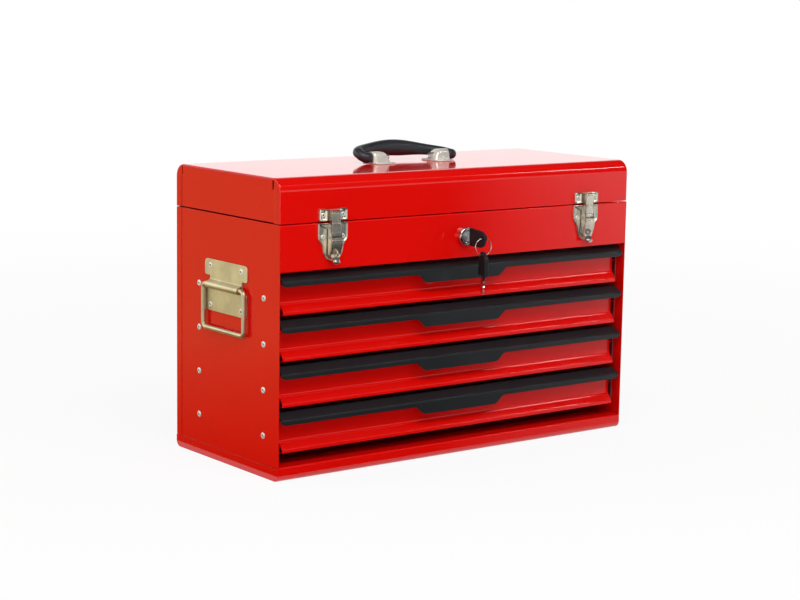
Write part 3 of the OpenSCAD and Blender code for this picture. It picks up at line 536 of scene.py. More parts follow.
class ToolBoxCase(bpy.types.Operator):
    """Build the base pan, the side panels, the back panel and the front rail"""
    bl_idname = "tool_box.case"
    bl_label = "Case"

    def execute(self, context):
        t, fold, corner, edge = mm("sheet"), mm("pan_fold"), mm("corner"), mm("edge")
        inner = HALF - t
        pan_top, panel_foot, plinth, shelf, lip = 14.5, 15.0, 17.0, FRONT + 35, 11.0
        lap, lap_top, tuck, setback = 2.5, pan_top + 8, 10, 5
        pan = Piece()
        section = folded([(shelf, lip), (shelf, plinth), (FRONT, plinth), (FRONT, 0), (BACK, 0), (BACK, pan_top)],
                         [0, 1.4, corner, fold, fold, 0], t, 8)
        pan.skin(bar(section, 0, -inner, inner, BUTT))
        cheek = bent([(FRONT, pan_top), (FRONT, 0), (BACK, 0), (BACK, pan_top)], [0.4, fold, fold, 0.4], steps=9)
        pan.both(bar(cheek, 0, inner, HALF, edge))
        pan.make("Base_pan", "case", "Enamel", "base_pan")

        rear = BACK - mm("flange") - mm("seam")
        for side, sign in SIDES.items():
            wall = Piece()
            # the outer wall, its laps behind the back flange and the pan, and the edges tucked in at rail and top
            for axis, low, high in (
                    (0, (inner, FRONT, panel_foot), (HALF, rear, BODY_TOP)),
                    (0, (inner - t, rear - lap, fold), (inner, BACK - t, BODY_TOP - t)),
                    (0, (inner - t, shelf + 1, fold), (inner, rear - lap, lap_top)),
                    (2, (inner - tuck, FRONT + 16, RAIL_LOW), (inner, rear - setback, RAIL_LOW + t)),
                    (2, (HALF - tuck, FRONT + 10, BODY_TOP - t), (inner + 0.3, rear - setback, BODY_TOP))):
                wall.skin(plate(axis, low, high, edge) * (sign, 1, 1))
            wall.make(f"Side_panel_{side}", "case", "Enamel", f"side_panel_{side}")

        back = Piece()
        flange_end = BACK - mm("flange")
        wrap = folded([(HALF, flange_end), (HALF, BACK), (-HALF, BACK), (-HALF, flange_end)], corner, t, 5)
        back.skin(bar(wrap, 2, panel_foot, BODY_TOP, edge))
        back.skin(plate(1, (-inner + 2 * t, BACK - 2 * t, fold), (inner - 2 * t, BACK - t, lap_top)))
        back.skin(plate(2, (-HALF + 11, BACK - tuck, BODY_TOP - t), (HALF - 11, BACK - t, BODY_TOP)))
        back.make("Back_panel", "case", "Enamel", "back_panel")

        rail = folded([(FRONT + 8, BODY_TOP), (FRONT, BODY_TOP), (FRONT, RAIL_LOW), (FRONT + 15, RAIL_LOW)],
                      corner, t, 5)
        Piece().skin(bar(rail, 0, -inner, inner, BUTT)).make("Front_rail", "case", "Enamel", "front_rail")
        return {"FINISHED"}


# ---- lid

class ToolBoxLid(bpy.types.Operator):
    """Build the folded lid and its two end panels"""
    bl_idname = "tool_box.lid"
    bl_label = "Lid"

    def execute(self, context):
        t, fold, corner, edge, flange = (mm(name) for name in ("sheet", "lid_fold", "corner", "edge", "flange"))
        top_flange, arc, step = corner + 0.4, 14, (0.02, 0)
        path = bent([(FRONT, LID_LOW), (FRONT, LID_TOP), (BACK, LID_TOP), (BACK, LID_LOW)], fold, False, arc)
        # the side flange is deep along the front and the back, and only turns the corner along the top
        path = join([path[:arc + 1], [path[arc] + step, path[arc + 1] - step], path[arc + 1:]])
        depth = np.full(len(path), flange)
        depth[arc + 1:arc + 3] = top_flange
        ahead = unit(np.gradient(path, axis=0))
        ahead[arc:arc + 4] = (1, 0)
        ahead[[0, -1]] = (0, 1), (0, -1)
        inside = -left_of(ahead)
        a = np.linspace(0, np.pi / 2, 6)
        x = join([[HALF], HALF - corner * (1 - np.cos(a)), [HALF - corner - 3]])
        reach = join([[np.nan], corner * (1 - np.sin(a)), [0]])
        down = np.where(np.isnan(reach)[None], depth[:, None], reach[None])
        right = raised(path[:, None] + down[..., None] * inside[:, None], 0, x)
        rows = join([right, right[:, ::-1] * (-1, 1, 1)], 1)
        shell = Piece().skin(rows, "open", False)
        shell.make("Lid_shell", "lid", "Enamel", "lid_wrap", wall=t, sharp=50)

        rear, front = BACK - flange - mm("seam"), FRONT + flange + 0.2
        inner, foot = HALF - t, LID_LOW + 0.7
        for side, sign in SIDES.items():
            end = Piece()
            # the outer wall, the lap behind both flanges, its doubled middle, and the tucked in foot
            for axis, low, high in (
                    (0, (inner, front, foot), (HALF, rear, LID_TOP - top_flange - 0.1)),
                    (0, (inner - t + 0.1, -BACK + t + 0.2, LID_LOW + 3), (inner, BACK - t - 0.2, LID_TOP - fold)),
                    (0, (inner - t, front + 0.1, foot + 0.2), (inner + 0.2, rear - 0.1, LID_TOP - t - 0.2)),
                    (2, (inner - 10, front, foot), (inner, rear, foot + t))):
                end.skin(plate(axis, low, high, edge) * (sign, 1, 1))
            end.make(f"Lid_end_panel_{side}", "lid", "Enamel", f"lid_end_{side}")
        return {"FINISHED"}


# ---- drawers

def drawer_pull(n):
    """The section is a folded wall; along the width its lower edge follows a smooth step down to the flap."""
    low, high = span(f"drawer_{n}_pull")
    top, flap_edge = high[2], low[2]
    nose, edge, end = top - 8.3, flap_edge + 9.8, flap_edge + 14.3
    flat = FRONT + 13
    section = folded([(flat, nose - 3), (flat, top), (FRONT, nose), (FRONT + 0.2, edge - 2)],
                     [0, 0.9, mm("nose"), 0], 1.6, 9)
    half, flap, slope = high[0], mm("flap"), mm("flap_slope")
    s = np.linspace(0, 1, 14)
    ease = s * s * (3 - 2 * s)
    round_off = np.linspace(0, np.pi / 2, 6)
    corner = 7.0
    x = join([[0], flap + slope * s, half - corner + corner * np.sin(round_off)])
    z = join([[flap_edge], flap_edge + (edge - flap_edge) * ease, end - (end - edge) * np.cos(round_off)])
    x, z = join([-x[:0:-1], x]), join([z[:0:-1], z])
    face_top = nose - 2.6
    stretch = (face_top - z) / (face_top - (edge - 2))
    below = np.minimum(section[:, 1] - face_top, 0) * (section[:, 0] < FRONT + 5)
    rings = points_at(x[:, None], section[:, 0], section[:, 1] + below * (stretch[:, None] - 1))
    Piece().skin(rings).make(f"Drawer_pull_{n}", f"drawer_{n}", "Pull_plastic", f"drawer_{n}_pull")


class ToolBoxDrawers(bpy.types.Operator):
    """Build the flared drawer fronts and their pulls"""
    bl_idname = "tool_box.drawers"
    bl_label = "Drawers"

    def execute(self, context):
        t = mm("sheet")
        for n in DRAWERS:
            low, high = span(f"drawer_{n}_front")
            lip, foot = low[1:]
            flat, slope_top, slope_low, turned_in = lip + mm("flare"), foot + 12.5, foot + 4.5, lip + 5
            section = folded([(flat, high[2]), (flat, slope_top), (lip, slope_low), (lip, foot), (turned_in, foot)],
                             [0, 6, 3, 1.3, 0], t, 9)
            front = Piece().skin(bar(section, 0, low[0], high[0]))
            front.make(f"Drawer_front_{n}", f"drawer_{n}", "Enamel", f"drawer_{n}_front")
            drawer_pull(n)
        return {"FINISHED"}


# ---- rivets

def rivet(radius=RIVET_HEAD, dome=1.2, bore=1.4):
    """Profile of a blind rivet: a short shank and a low dome, with a deep round bore where its stem broke off."""
    a = np.linspace(0, np.pi / 2, 6)
    head = (bore + 0.25, 0.15) + round_at(a) * (radius - bore - 0.25, dome - 0.15)
    shank = bore + 0.4
    return join([[(shank, -2.1), (shank, -0.6), (radius * 0.9, -0.6), (radius, 0)], head,
                 [(bore, dome - 0.15), (bore * 0.95, -1.7), (0.2, -1.8)]])


STEM = [(1.3, -1.6), (1.3, 0.1), (0.9, 0.35), (0.2, 0.3)]  # profile of the broken stem inside a rivet


class ToolBoxRivets(bpy.types.Operator):
    """Build the blind rivets of the slides and of the side handles"""
    bl_idname = "tool_box.rivets"
    bl_label = "Rivets"

    def execute(self, context):
        slides, handles, stems = Piece(), Piece(), Piece()
        above_foot, radius, plate_top = 17.5, 3.7, HALF + PLATE_THICK
        ends = span("slide_rivets") + ((RIVET_HEAD,), (-RIVET_HEAD,))
        for z in (span(f"drawer_{n}_front")[0][2] + above_foot for n in DRAWERS):
            for y in ends[:, 1]:
                slides.both(turned(rivet(radius), (HALF, y, z), 0, 24))
                stems.both(turned(STEM, (HALF, y, z), 0, 16))
        slides.make("Slide_rivets", "case", "Satin_zinc", "slide_rivets")
        ends = span("side_handle_rivets") + ((RIVET_HEAD,), (-RIVET_HEAD,))
        for y in ends[:, 1]:
            for z in ends[:, 2]:
                handles.both(turned(rivet(radius, 0.9, 1.45), (plate_top, y, z), 0, 24))
                stems.both(turned(STEM, (plate_top, y, z), 0, 16))
        handles.make("Side_handle_rivets", "case", "Satin_zinc", "side_handle_rivets")
        # the real broken stems fill the rivet bores, and their dark finish paints the bores' shade
        stems.make("Rivet_stems", "case", "Stem_steel", "slide_rivets", "side_handle_rivets")
        return {"FINISHED"}


# ---- latches

def latch_rivets():
    """Two rivets in each shield, keeper and saddle."""
    base, lid = Piece(), Piece()
    rivet_x, saddle_y, small = 13.5, 15, rivet(2.9, bore=1.1)
    base_z, keeper_z = span("latch_rivets")[0][2] + RIVET_HEAD, centre_of("latch_keepers", 2)
    for sign in SIDES.values():
        for dx in (-rivet_x, rivet_x):
            for piece, z in ((base, base_z), (lid, keeper_z)):
                head = turned(small, (sign * LATCH_X + dx, -FRONT + 1.2, z), 1, 20)
                piece.skin(head * (1, -1, 1))
        for y in (-saddle_y, saddle_y):
            lid.skin(turned(rivet(), (sign * SADDLE_X, y, LID_TOP + SADDLE_THICK), 2, 24))
    base.make("Latch_base_rivets", "case", "Satin_zinc", "latch_rivets")
    lid.make("Lid_rivet_heads", "lid", "Satin_zinc", "lid_rivets")


def latch_shield(side, x):
    """A shield with a raised rim: parallel sides, an S-curve to a neck, and a full round tip."""
    half, tall = 20.0, 43.0
    curve = np.array([(0.97, 0.0), (1, 0.015), (1, 0.42), (0.935, 0.455), (0.84, 0.5), (0.76, 0.56), (0.70, 0.63),
                      (0.67, 0.70), (0.645, 0.77), (0.60, 0.835), (0.52, 0.89), (0.41, 0.94), (0.27, 0.975),
                      (0.12, 0.995)]) * (half, -tall)
    outline = eased(join([curve, curve[::-1] * (-1, 1)])) + (x, LATCH_Z)
    rim, floor = FRONT - mm("rim"), FRONT - 1.0
    piece = Piece().skin(stacked(outline, 1, [(0, FRONT), (0, rim + 0.7), (0.25, rim + 0.2), (0.7, rim),
                                              (1.2, rim + 0.2), (1.5, rim + 0.7), (1.8, floor - 0.2),
                                              (2.2, floor)]))
    ear_x, thick = 8.0, 1.2
    ear = bent([(PIN_Y - 3, PIN_Z + 3), (PIN_Y - 3, PIN_Z - 3), (FRONT, PIN_Z - 3), (FRONT, PIN_Z + 3)],
               [2.9, 2.9, 0.3, 0.3], steps=8)
    walls(piece, (x + ear_x, x - ear_x - thick), thick, 0.3, ear)
    hole, eye, reach = 2.2, np.array((FRONT - 8.0, EYE_Z)), 3.9
    tab = bent([eye - reach, (FRONT, eye[1] - reach), (FRONT, eye[1] + reach), eye + (-reach, reach)],
               [reach - 0.1, 0.3, 0.3, reach - 0.1], steps=10)
    piece.skin(holed(tab, 0, x - thick, x + thick, eye, hole, 0.35), "loop")
    piece.make(f"Latch_shield_{side}", "case", "Nickel", f"latch_base_{side}")


def latch_lever(side, x):
    """A channel whose face dips in to a slotted end and turns out again to a round tip. The end is a plate
    between two outlines, the slot and the edge; its depth follows a curve through a few heights."""
    piece = Piece()
    face, half, thick = FRONT - 10, 7.5, 1.2
    top, slant, end = LATCH_Z - 16.0, LATCH_Z - 22.5, LATCH_Z - 44.5
    piece.skin(bar(box_outline((x - half, slant - 0.6), (x + half, top), 0.6), 1, face, face + thick, 0.35))
    band = box_outline((face - 0.8, slant + 1.4), (face + 1, slant + 4.4), 0.8)
    piece.skin(bar(band, 0, x - half + 0.2, x + half - 0.2, 0.5))
    outer = spaced(bent([(-half, slant), (-half + 0.3, slant - 9), (-4.6, end + 3), (-3.4, end), (3.4, end),
                         (4.6, end + 3), (half - 0.3, slant - 9), (half, slant)],
                        [0.3, 8, 2, 1.5, 1.5, 2, 8, 0.3], steps=7), 88)
    centre, slot_half = np.array((0.0, EYE_Z)), np.array((2.3, 4.65))
    slot = centre + unit((outer - centre) / slot_half) * slot_half
    flat = outer + (slot - outer) * np.linspace(0, 1, 5)[:, None, None]
    heights = np.array([end, end + 3, EYE_Z - 5, EYE_Z - 1, EYE_Z + 3, slant - 5, slant])
    dips = np.array([0.4, 1.6, 2.7, 3.0, 2.0, 0.4, 0.0])
    depth = face + np.interp(flat[..., 1], heights, dips)
    front_rings = points_at(flat[..., 0] + x, depth, flat[..., 1])
    piece.skin(join([front_rings, (front_rings + (0, thick, 0))[::-1]]), "loop")
    tip = box_outline((x - 4.4, end - 1.6), (x + 4.4, end + 3.8), 2.6)
    piece.skin(bar(tip, 1, face - 1.6, face + 2.6, 2.0, 7))
    web = bent([(PIN_Y - 2.4, PIN_Z + 3), (PIN_Y + 3, PIN_Z + 3), (PIN_Y + 3, slant - 2), (FRONT - 3.6, slant - 12),
                (face + 3.6, slant - 14), (face + 0.6, slant - 4), (face + 0.2, top), (PIN_Y - 2.4, PIN_Z - 3.6)],
               [2.3, 2.3, 4, 1, 1, 4, 0.5, 1.5], steps=5)
    walls(piece, (x - half, x + half - thick), thick, 0.3, web)
    piece.make(f"Latch_lever_channel_{side}", f"latch_lever_{side}", "Nickel", f"latch_lever_{side}")


def latch_claw(side, x):
    """A channel with a rounded, turned-in top and two raised ribs across its face, the upper one notched."""
    piece = Piece()
    low, high = span(f"latch_claw_{side}")
    half, face, top, bottom, thick = 5.8, low[1], high[2], low[2], 1.0
    section = folded([(FRONT - 4.6, top), (face, top), (face, bottom)], [0, 3.6, 0], thick, 9)
    piece.skin(bar(section, 0, x - half, x + half, 0.3))
    cheek = bent([(face + 0.3, LID_LOW - 0.5), (FRONT - 2.6, LID_LOW - 0.5), (FRONT - 2.6, top - 3),
                  (face + 3, top - 0.3), (face + 0.3, top - 3.4)], [0.4, 1, 3, 2, 2], steps=5)
    ear = box_outline((face + 0.3, bottom + 0.2), (PIN_Y + 1.9, bottom + 5.4), 2.3)
    walls(piece, (x - half, x + half - thick), thick, 0.25, cheek, ear)
    upper, lower, side_hump = LATCH_Z - 0.5, LATCH_Z - 11.0, 3.6
    for rib, tall, out, middle, wide in ((upper - 1.5, 0.6, 0.6, 0, half - 0.5), (lower, 0.9, 0.9, 0, half - 0.5),
                                         (upper, 1.3, 1.0, -side_hump, 1.4), (upper, 1.3, 1.0, side_hump, 1.4)):
        bead = box_outline((face - out, rib - tall), (face + 0.6, rib + tall), 0.55)
        piece.skin(bar(bead, 0, x + middle - wide, x + middle + wide, 0.5))
    piece.make(f"Latch_hook_{side}", f"latch_claw_{side}", "Nickel", f"latch_claw_{side}")


def latch_keeper(piece, x):
    """Two embossed, rimmed ears with a low plate and a hook bar between them."""
    low, high = span("latch_keepers")
    bottom, top, near, far = low[2], high[2], 8.0, 19.0
    piece.skin(bar(box_outline((x - near - 1, bottom + 0.5), (x + near + 1, top - 1), 1.0), 1,
                   FRONT - 1.2, FRONT, 0.4))
    for a, b in ((x - far, x - near), (x + near, x + far)):
        ear = box_outline((a, bottom), (b, top), 2.2)
        piece.skin(stacked(ear, 1, [(0, FRONT), (0, FRONT - 2.2), (0.3, FRONT - 3.0), (0.9, FRONT - 3.5),
                                    (1.5, FRONT - 3.3), (2.0, FRONT - 2.6), (2.6, FRONT - 1.7),
                                    (3.2, FRONT - 1.4)]))
    piece.skin(plate(2, (x - 3.6, low[1] + 0.1, bottom + 7.5), (x + 3.6, FRONT, bottom + 9), 0.4))


class ToolBoxLatches(bpy.types.Operator):
    """Build the draw latches: base plates, levers, claws and keepers"""
    bl_idname = "tool_box.latches"
    bl_label = "Latches"

    def execute(self, context):
        for side, sign in SIDES.items():
            x = sign * LATCH_X
            latch_shield(side, x)
            latch_lever(side, x)
            latch_claw(side, x)
        keepers = Piece()
        for sign in SIDES.values():
            latch_keeper(keepers, sign * LATCH_X)
        keepers.make("Latch_keepers", "lid", "Nickel", "latch_keepers")
        latch_rivets()
        return {"FINISHED"}


# ---- lock and keys

def key_head(tip_y, hole):
    """A key's moulded head: its far end bevelled above and rounded below, with the hole for the ring."""
    reach, tall, cut, half, bore, rounding = 29, 21, 0.5, 2.5, 2.3, 1.2
    low, high = LOCK_Z - tall / 2, LOCK_Z + tall / 2
    corners = [(tip_y - reach * 0.82, low), (tip_y - cut, low), (tip_y, low + cut), (tip_y, high - cut),
               (tip_y - cut, high), (tip_y - reach * 0.67, low + tall * 0.91), (tip_y - reach, low + tall * 0.67)]
    outline = bent(corners, [7, 0.3, 0.3, 0.3, 0.3, 6, 2.5], steps=6)
    return holed(outline, 0, -half, half, hole, bore, rounding, 5)


def key_blade(root_y, reach, half):
    """A key's blade: a straight back, a pointed tip, and cuts of five depths along the other edge."""
    tall = 7.6
    low, high, tip_y = LOCK_Z - tall / 2, LOCK_Z + tall / 2, root_y + reach
    depths, uncut = np.array([0.5, 2.0, 1.0, 2.4, 1.4]), np.full(5, 0.1)
    y = root_y + reach * (0.26 + 0.13 * np.arange(5))
    cuts = np.stack([np.stack([y - 1.2, y, y + 0.3, y + 1.5], 1),
                     low + np.stack([uncut, depths, depths, uncut], 1)], -1)
    outline = join([[(root_y, low)], cuts.reshape(-1, 2),
                    [(tip_y - 1.5, low + 1.0), (tip_y, LOCK_Z + 0.4), (tip_y - 2.2, high), (root_y, high)]])
    return bar(outline, 0, -half, half, 0.2)


def hanging_keys(hole):
    """A split ring wound two turns about its own axis, and a second key that hangs from it."""
    turn, drop, mean = math.radians(-17), 0.6, 9.8
    cos, sin = math.cos(turn), math.sin(turn)
    spin = np.array([[cos, -sin, 0], [sin, cos, 0], [0, 0, 1]])
    pin = np.array([0, hole[0], hole[1] - drop])
    wire = mm("wire")
    a = np.linspace(0.3, 4 * np.pi - 0.3, 120)
    wound = np.stack([mean * np.sin(a), (a / (2 * np.pi) - 1) * wire * 0.94, mean * np.cos(a) - mean], 1)
    ring = Piece().skin(tube(wound @ spin.T + pin, (wire / 2, wire / 2), spin[:, 1], 10))
    ring.make("Split_ring", "key_ring", "Chrome", "key_ring", weighted=False)

    fall = np.array([[1, 0, 0], [0, 0, 1], [0, -1, 0]], float)
    nail = pin - (0, 0, 2 * mean + drop)

    def hung(rings):
        return (rings - (0, *hole)) @ fall.T @ spin.T + nail
    key = Piece().skin(hung(key_head(hole[0] + 23.5, hole)), "loop")
    key.make("Spare_key_grip", "spare_key", "Key_plastic", "spare_key")
    Piece().skin(hung(key_blade(hole[0] + 23.0, 23, 1.0))).make("Spare_key_blade", "spare_key", "Chrome")


class ToolBoxLock(bpy.types.Operator):
    """Build the lock, its key, the split ring and the spare key"""
    bl_idname = "tool_box.lock"
    bl_label = "Lock and keys"

    def execute(self, context):
        lock, bore, radius, rim = (0, 0, LOCK_Z), 6.2, 7.9, 10.5
        back = span("lock_housing")[1][1]
        bezel = bent([(0.2, 0), (rim, 0), (rim, 6), (8.0, 6), (bore, 4.2), (bore, -18)],
                     [0, 0.2, 1.6, 0.5, 0.4, 0], False, 5) * (1, -1) + (0, FRONT)
        barrel = turned([(radius, FRONT), (radius, back), (bore, back)], lock, 1, 48)
        housing = Piece().skin(join([turned(bezel[1:], lock, 1, 48), barrel[::-1]]), "loop")
        housing.make("Lock_bezel", "case", "Chrome", "lock_housing")

        plug_low, plug_high = span("lock_plug")
        face, rear, radius, boss = plug_low[1] + 1.6, plug_high[1], 6.0, 3.4
        plug = bent(rectangle((0.3, face), (radius, rear)), [0, 0.6, 0.2, 0], False, 4)
        cylinder = Piece().skin(turned(plug, lock, 1, 40))
        cylinder.skin(turned([(boss, face + 0.1), (boss, face - 0.5), (3.0, face - 0.8), (0.3, face - 0.8)],
                             lock, 1, 32))
        cylinder.make("Lock_cylinder", "lock_plug", "Zinc", "lock_plug")

        root, tip = span("key_blade")[:, 1]
        Piece().skin(key_blade(root, tip - root, 1.1)).make("Key_blade_cut", "key", "Chrome", "key_blade")
        head_low, head_high = span("key_head")
        root, hole = head_high[1], (head_low[1] + 5.5, LOCK_Z + 1.1)
        head = Piece().skin(key_head(root, hole), "loop")
        for face_x in (-2.45, 2.45):
            panel = bent([(root - 3, LOCK_Z - 7), (root - 3, LOCK_Z + 7.5), (root - 15, LOCK_Z + 6),
                          (root - 15, LOCK_Z - 7)], 1.5, steps=5)
            head.skin(bar(panel, 0, face_x - 0.35, face_x + 0.35, 0.3))
        head.make("Key_grip", "key", "Key_plastic", "key_head")
        hanging_keys(hole)
        return {"FINISHED"}


# ---- handles

def carry_grip():
    """The centre line leaves each saddle sideways, turns back round an arc and crosses the middle as half a
    wave. Across it the grip is an oval that swells by a squared cosine towards the middle. Beyond its ends it
    sits a little askew: its left is higher than its right by a share of the distance along it."""
    end, half, reach, thin, swell, askew = 58.0, 76.0, 31.0, 12.8 / 2, 56.0, 0.042
    wide, thick, lean, bend = 10.0, 19.9 / 2, math.radians(14.5), 7.5
    bend_x = half - thin - bend
    a = np.radians(np.linspace(0, 115, 16))
    arc = np.stack([bend_x + bend * np.sin(a), bend * (1 - np.cos(a))], 1)
    t = np.linspace(0, 1, 26)[1:]
    arm = np.stack([arc[-1, 0] * (1 - t), arc[-1, 1] + (reach - arc[-1, 1]) * np.sin(np.pi / 2 * t ** 0.7)], 1)
    line = join([[(end + 0.1, 0), (end + 1.2, 0)], arc, arm])
    line = join([line, line[-2::-1] * (-1, 1)])
    line = points_at(*line.T, 0)
    grown = np.cos(np.pi / 2 * np.clip(np.abs(line[:, 0]) / swell, 0, 1)) ** 2
    shoulder = np.ones(len(line))
    shoulder[[0, -1]] = 0.86
    rings = tube(line, ((thin + (wide - thin) * grown) * shoulder, (thin + (thick - thin) * grown) * shoulder),
                 (0, 0, 1), 28)
    rings[..., 2] -= askew * rings[..., 0] * np.clip(line[:, 1:2] / bend, 0, 1)
    tilt = np.array([[1, 0, 0], [0, math.cos(lean), -math.sin(lean)], [0, math.sin(lean), math.cos(lean)]])
    grip = Piece().skin(rings @ tilt.T + (0, 0, AXIS_Z))
    grip.make("Carry_grip", "carry_handle", "Grip_rubber", "handle_grip", sharp=60, weighted=False)


def saddle_bracket(piece, sign):
    """A pressed hump over the pin: each level of its outline shrinks towards the open outer end."""
    outer, base, inner_end = SADDLE_X + SADDLE_HALF, LID_TOP, SADDLE_X - SADDLE_HALF
    foot = box_outline((inner_end, -19.5), (outer, 19.5), 6)
    piece.skin(bar(foot, 2, base, base + SADDLE_THICK, 0.5) * (sign, 1, 1))
    hump = box_outline((-25, -10), (0, 10), 4)
    level = np.array([(1.0, 1.0, 1.2), (0.96, 0.94, 2.4), (0.89, 0.87, 6.0), (0.82, 0.79, 9.5), (0.75, 0.68, 11.8),
                      (0.66, 0.53, 13.2), (0.56, 0.36, 13.9), (0.4, 0.2, 14.1)])
    along, across, height = level.T[..., None]
    rings = points_at(outer + hump[:, 0] * along, hump[:, 1] * across, base + height)
    piece.skin(rings * (sign, 1, 1))


class ToolBoxCarryHandle(bpy.types.Operator):
    """Build the folding grip and its two saddle brackets"""
    bl_idname = "tool_box.carry_handle"
    bl_label = "Carry handle"

    def execute(self, context):
        carry_grip()
        piece = Piece()
        for sign in SIDES.values():
            saddle_bracket(piece, sign)
        piece.make("Saddle_brackets", "lid", "Satin_zinc", "handle_brackets")
        return {"FINISHED"}


class ToolBoxSideHandles(bpy.types.Operator):
    """Build the plates with rolled barrels and the wire bails on both sides"""
    bl_idname = "tool_box.side_handles"
    bl_label = "Side handles"

    def execute(self, context):
        for side, sign in SIDES.items():
            low, high = span(f"side_handle_plate_{side}")
            bail_low, bail_high = span(f"bail_{side}")
            wire = 2.75
            axis_x, axis_z = (bail_low[0] + bail_high[0]) / 2, bail_high[2] - wire
            middle, head, neck = (low[1] + high[1]) / 2, (high[1] - low[1]) / 2, 34.0
            foot = head - 1.5
            shelf, under = axis_z + 10, axis_z - 4
            corners = [(-foot, low[2]), (foot, low[2]), (foot, under), (neck, under), (neck, shelf), (head, shelf),
                       (head, high[2]), (-head, high[2]), (-head, shelf), (-neck, shelf), (-neck, under),
                       (-foot, under)]
            outline = bent(corners, [2, 2, 3, 1.2, 1.2, 3, 5, 5, 3, 1.2, 1.2, 3], steps=5) + (middle, 0)
            base = Piece().skin(bar(outline, 0, HALF, HALF + PLATE_THICK, 0.5) * (sign, 1, 1))
            # the barrel leaves the plate's head, runs round the wire and comes back to the plate
            a = np.radians(np.linspace(95, -196, 28))
            mean = wire + 0.25
            roll = (abs(axis_x), axis_z) + mean * round_at(a)
            lead = np.array([(HALF + 0.4, axis_z + 5.8), (HALF + 0.8, axis_z + 4.7), (HALF + 2.2, axis_z + 3.9)])
            section = thickened(join([lead, roll]), 1.4)
            base.skin(bar(section, 1, middle - neck, middle + neck, 0.25) * (sign, 1, 1))
            base.make(f"Handle_plate_{side}", "case", "Yellow_zinc", f"side_handle_plate_{side}")
            loop = bent(rectangle(bail_low[1:] + wire, bail_high[1:] - wire), 5.0, steps=10)
            bail = Piece().skin(tube(points_at(axis_x, *loop.T), (wire, wire), (1, 0, 0), 18, True), "loop")
            bail.make(f"Bail_wire_{side}", f"bail_{side}", "Yellow_zinc", f"bail_{side}", weighted=False)
        return {"FINISHED"}


# ---- stage

def stand(thing, axes, place):
    """Turns an object so that its own x, y and z lie along three directions, and puts it at a place."""
    turn = Matrix(np.stack(axes, 1).tolist()).to_4x4()
    turn.translation = place
    thing.matrix_world = turn


def sheet_of_light(name, place, aim, width, height, watts):
    """A soft rectangular lamp at a place, facing a point."""
    lamp = bpy.data.lights.new(name, "AREA")
    lamp.shape, lamp.size, lamp.size_y, lamp.energy = "RECTANGLE", width, height, watts
    back = unit(np.subtract(place, aim))
    across = unit(np.cross((0, 0, 1), back))
    stand(placed(name, lamp), (across, np.cross(back, across), back), place)


def level_sheet(name, corners, height, material):
    """A level face of the stage."""
    mesh = bpy.data.meshes.new(name)
    mesh.from_pydata([(x, y, height) for x, y in corners], [], [tuple(range(len(corners)))])
    mesh.materials.append(material)
    sheet = placed(name, mesh)
    return sheet


def card(name, corners, height, tones, direction=(1.0, 0.0), start=0.0, end=1.0):
    """A level card at a height, which only mirror-like surfaces see. Its glow goes from one colour to another,
    with the distance from the origin along a direction."""
    recipe = Recipe(name)
    along = recipe.node("VectorMath", {"operation": "DOT_PRODUCT"}, {0: recipe.place, 1: (*direction, 0.0)}, 1)
    part = recipe.node("MapRange", {"clamp": True}, {"Value": along, "From Min": start, "From Max": end})
    recipe.show(recipe.node("Emission", {}, {"Color": recipe.tint(part, *tones), "Strength": 1.0}))
    sheet = level_sheet(name, corners, height, recipe.material)
    for ray in ("camera", "diffuse", "shadow", "transmission", "volume_scatter"):
        setattr(sheet, "visible_" + ray, False)


def hang_cards(look):
    """Dark cards lie on the floor and hang above, where the front, the left side and the folds would otherwise
    mirror a bright floor or sky. A bright card far behind is what the lid's top mirrors, and a bright strip
    overhead draws thin lines along the folds."""
    on_floor = 0.002
    card("Front_card", [(-0.6, -0.12), (1.2, -0.12), (6.0, -3.0), (3.0, -6.0), (-2.0, -6.0)], on_floor,
         ((0.0,) * 3, (1.0,) * 3), (0.773, 0.634), -0.10, 0.33)
    card("Side_card", [(-0.27, -0.12), (-0.27, 0.6), (-3.0, 6.0), (-6.0, 4.0), (-2.0, -0.3)], on_floor,
         ((0.14, 0.03, 0.0), (0.48, 0.40, 0.16)), (-0.6, 0.8), 0.1)
    card("Ceiling_card", rectangle((-6.0, -12.0), (12.0, 2.5)), 2.3, ((0.03,) * 3,) * 2)
    card("Back_card", rectangle((-4.0, 5.0), (24.0, 22.0)), 1.55, ((1.28,) * 3,) * 2)
    card("Strip_card", rectangle((1.05, -1.46), (2.17, -1.34)), 1.8,
         ((1.5,) * 3, (look.strip,) * 3), start=1.62, end=2.05)


def lay_floor(look):
    """A pale floor. The camera sees it part lit and part glowing, and the glow grows with the distance, so it
    keeps the soft shadow and has no horizon."""
    recipe, reach = Recipe("Floor_pale"), 14.0
    recipe.surface(Base_Color=(look.floor_tone,) * 3 + (1,), Roughness=0.9, Specular_IOR_Level=0.0)
    seen = recipe.ray("Camera") + recipe.ray("Glossy")
    glow = recipe.node("Emission", {}, {"Color": (1, 1, 1, 1), "Strength": 1.0})
    away = recipe.node("VectorMath", {"operation": "LENGTH"}, {0: recipe.place}, 1)
    part = recipe.node("MapRange", {"clamp": True, "interpolation_type": "SMOOTHSTEP"},
                       {"Value": away, "From Min": 0.3, "From Max": 2.5, "To Min": 0.88, "To Max": 1.0})
    lit = Value(recipe, recipe.shader.outputs[0])
    recipe.show(recipe.node("MixShader", {}, {0: seen * part, 1: lit, 2: glow}))
    level_sheet("Floor", rectangle((-reach, -reach), (reach, reach)), 0, recipe.material)


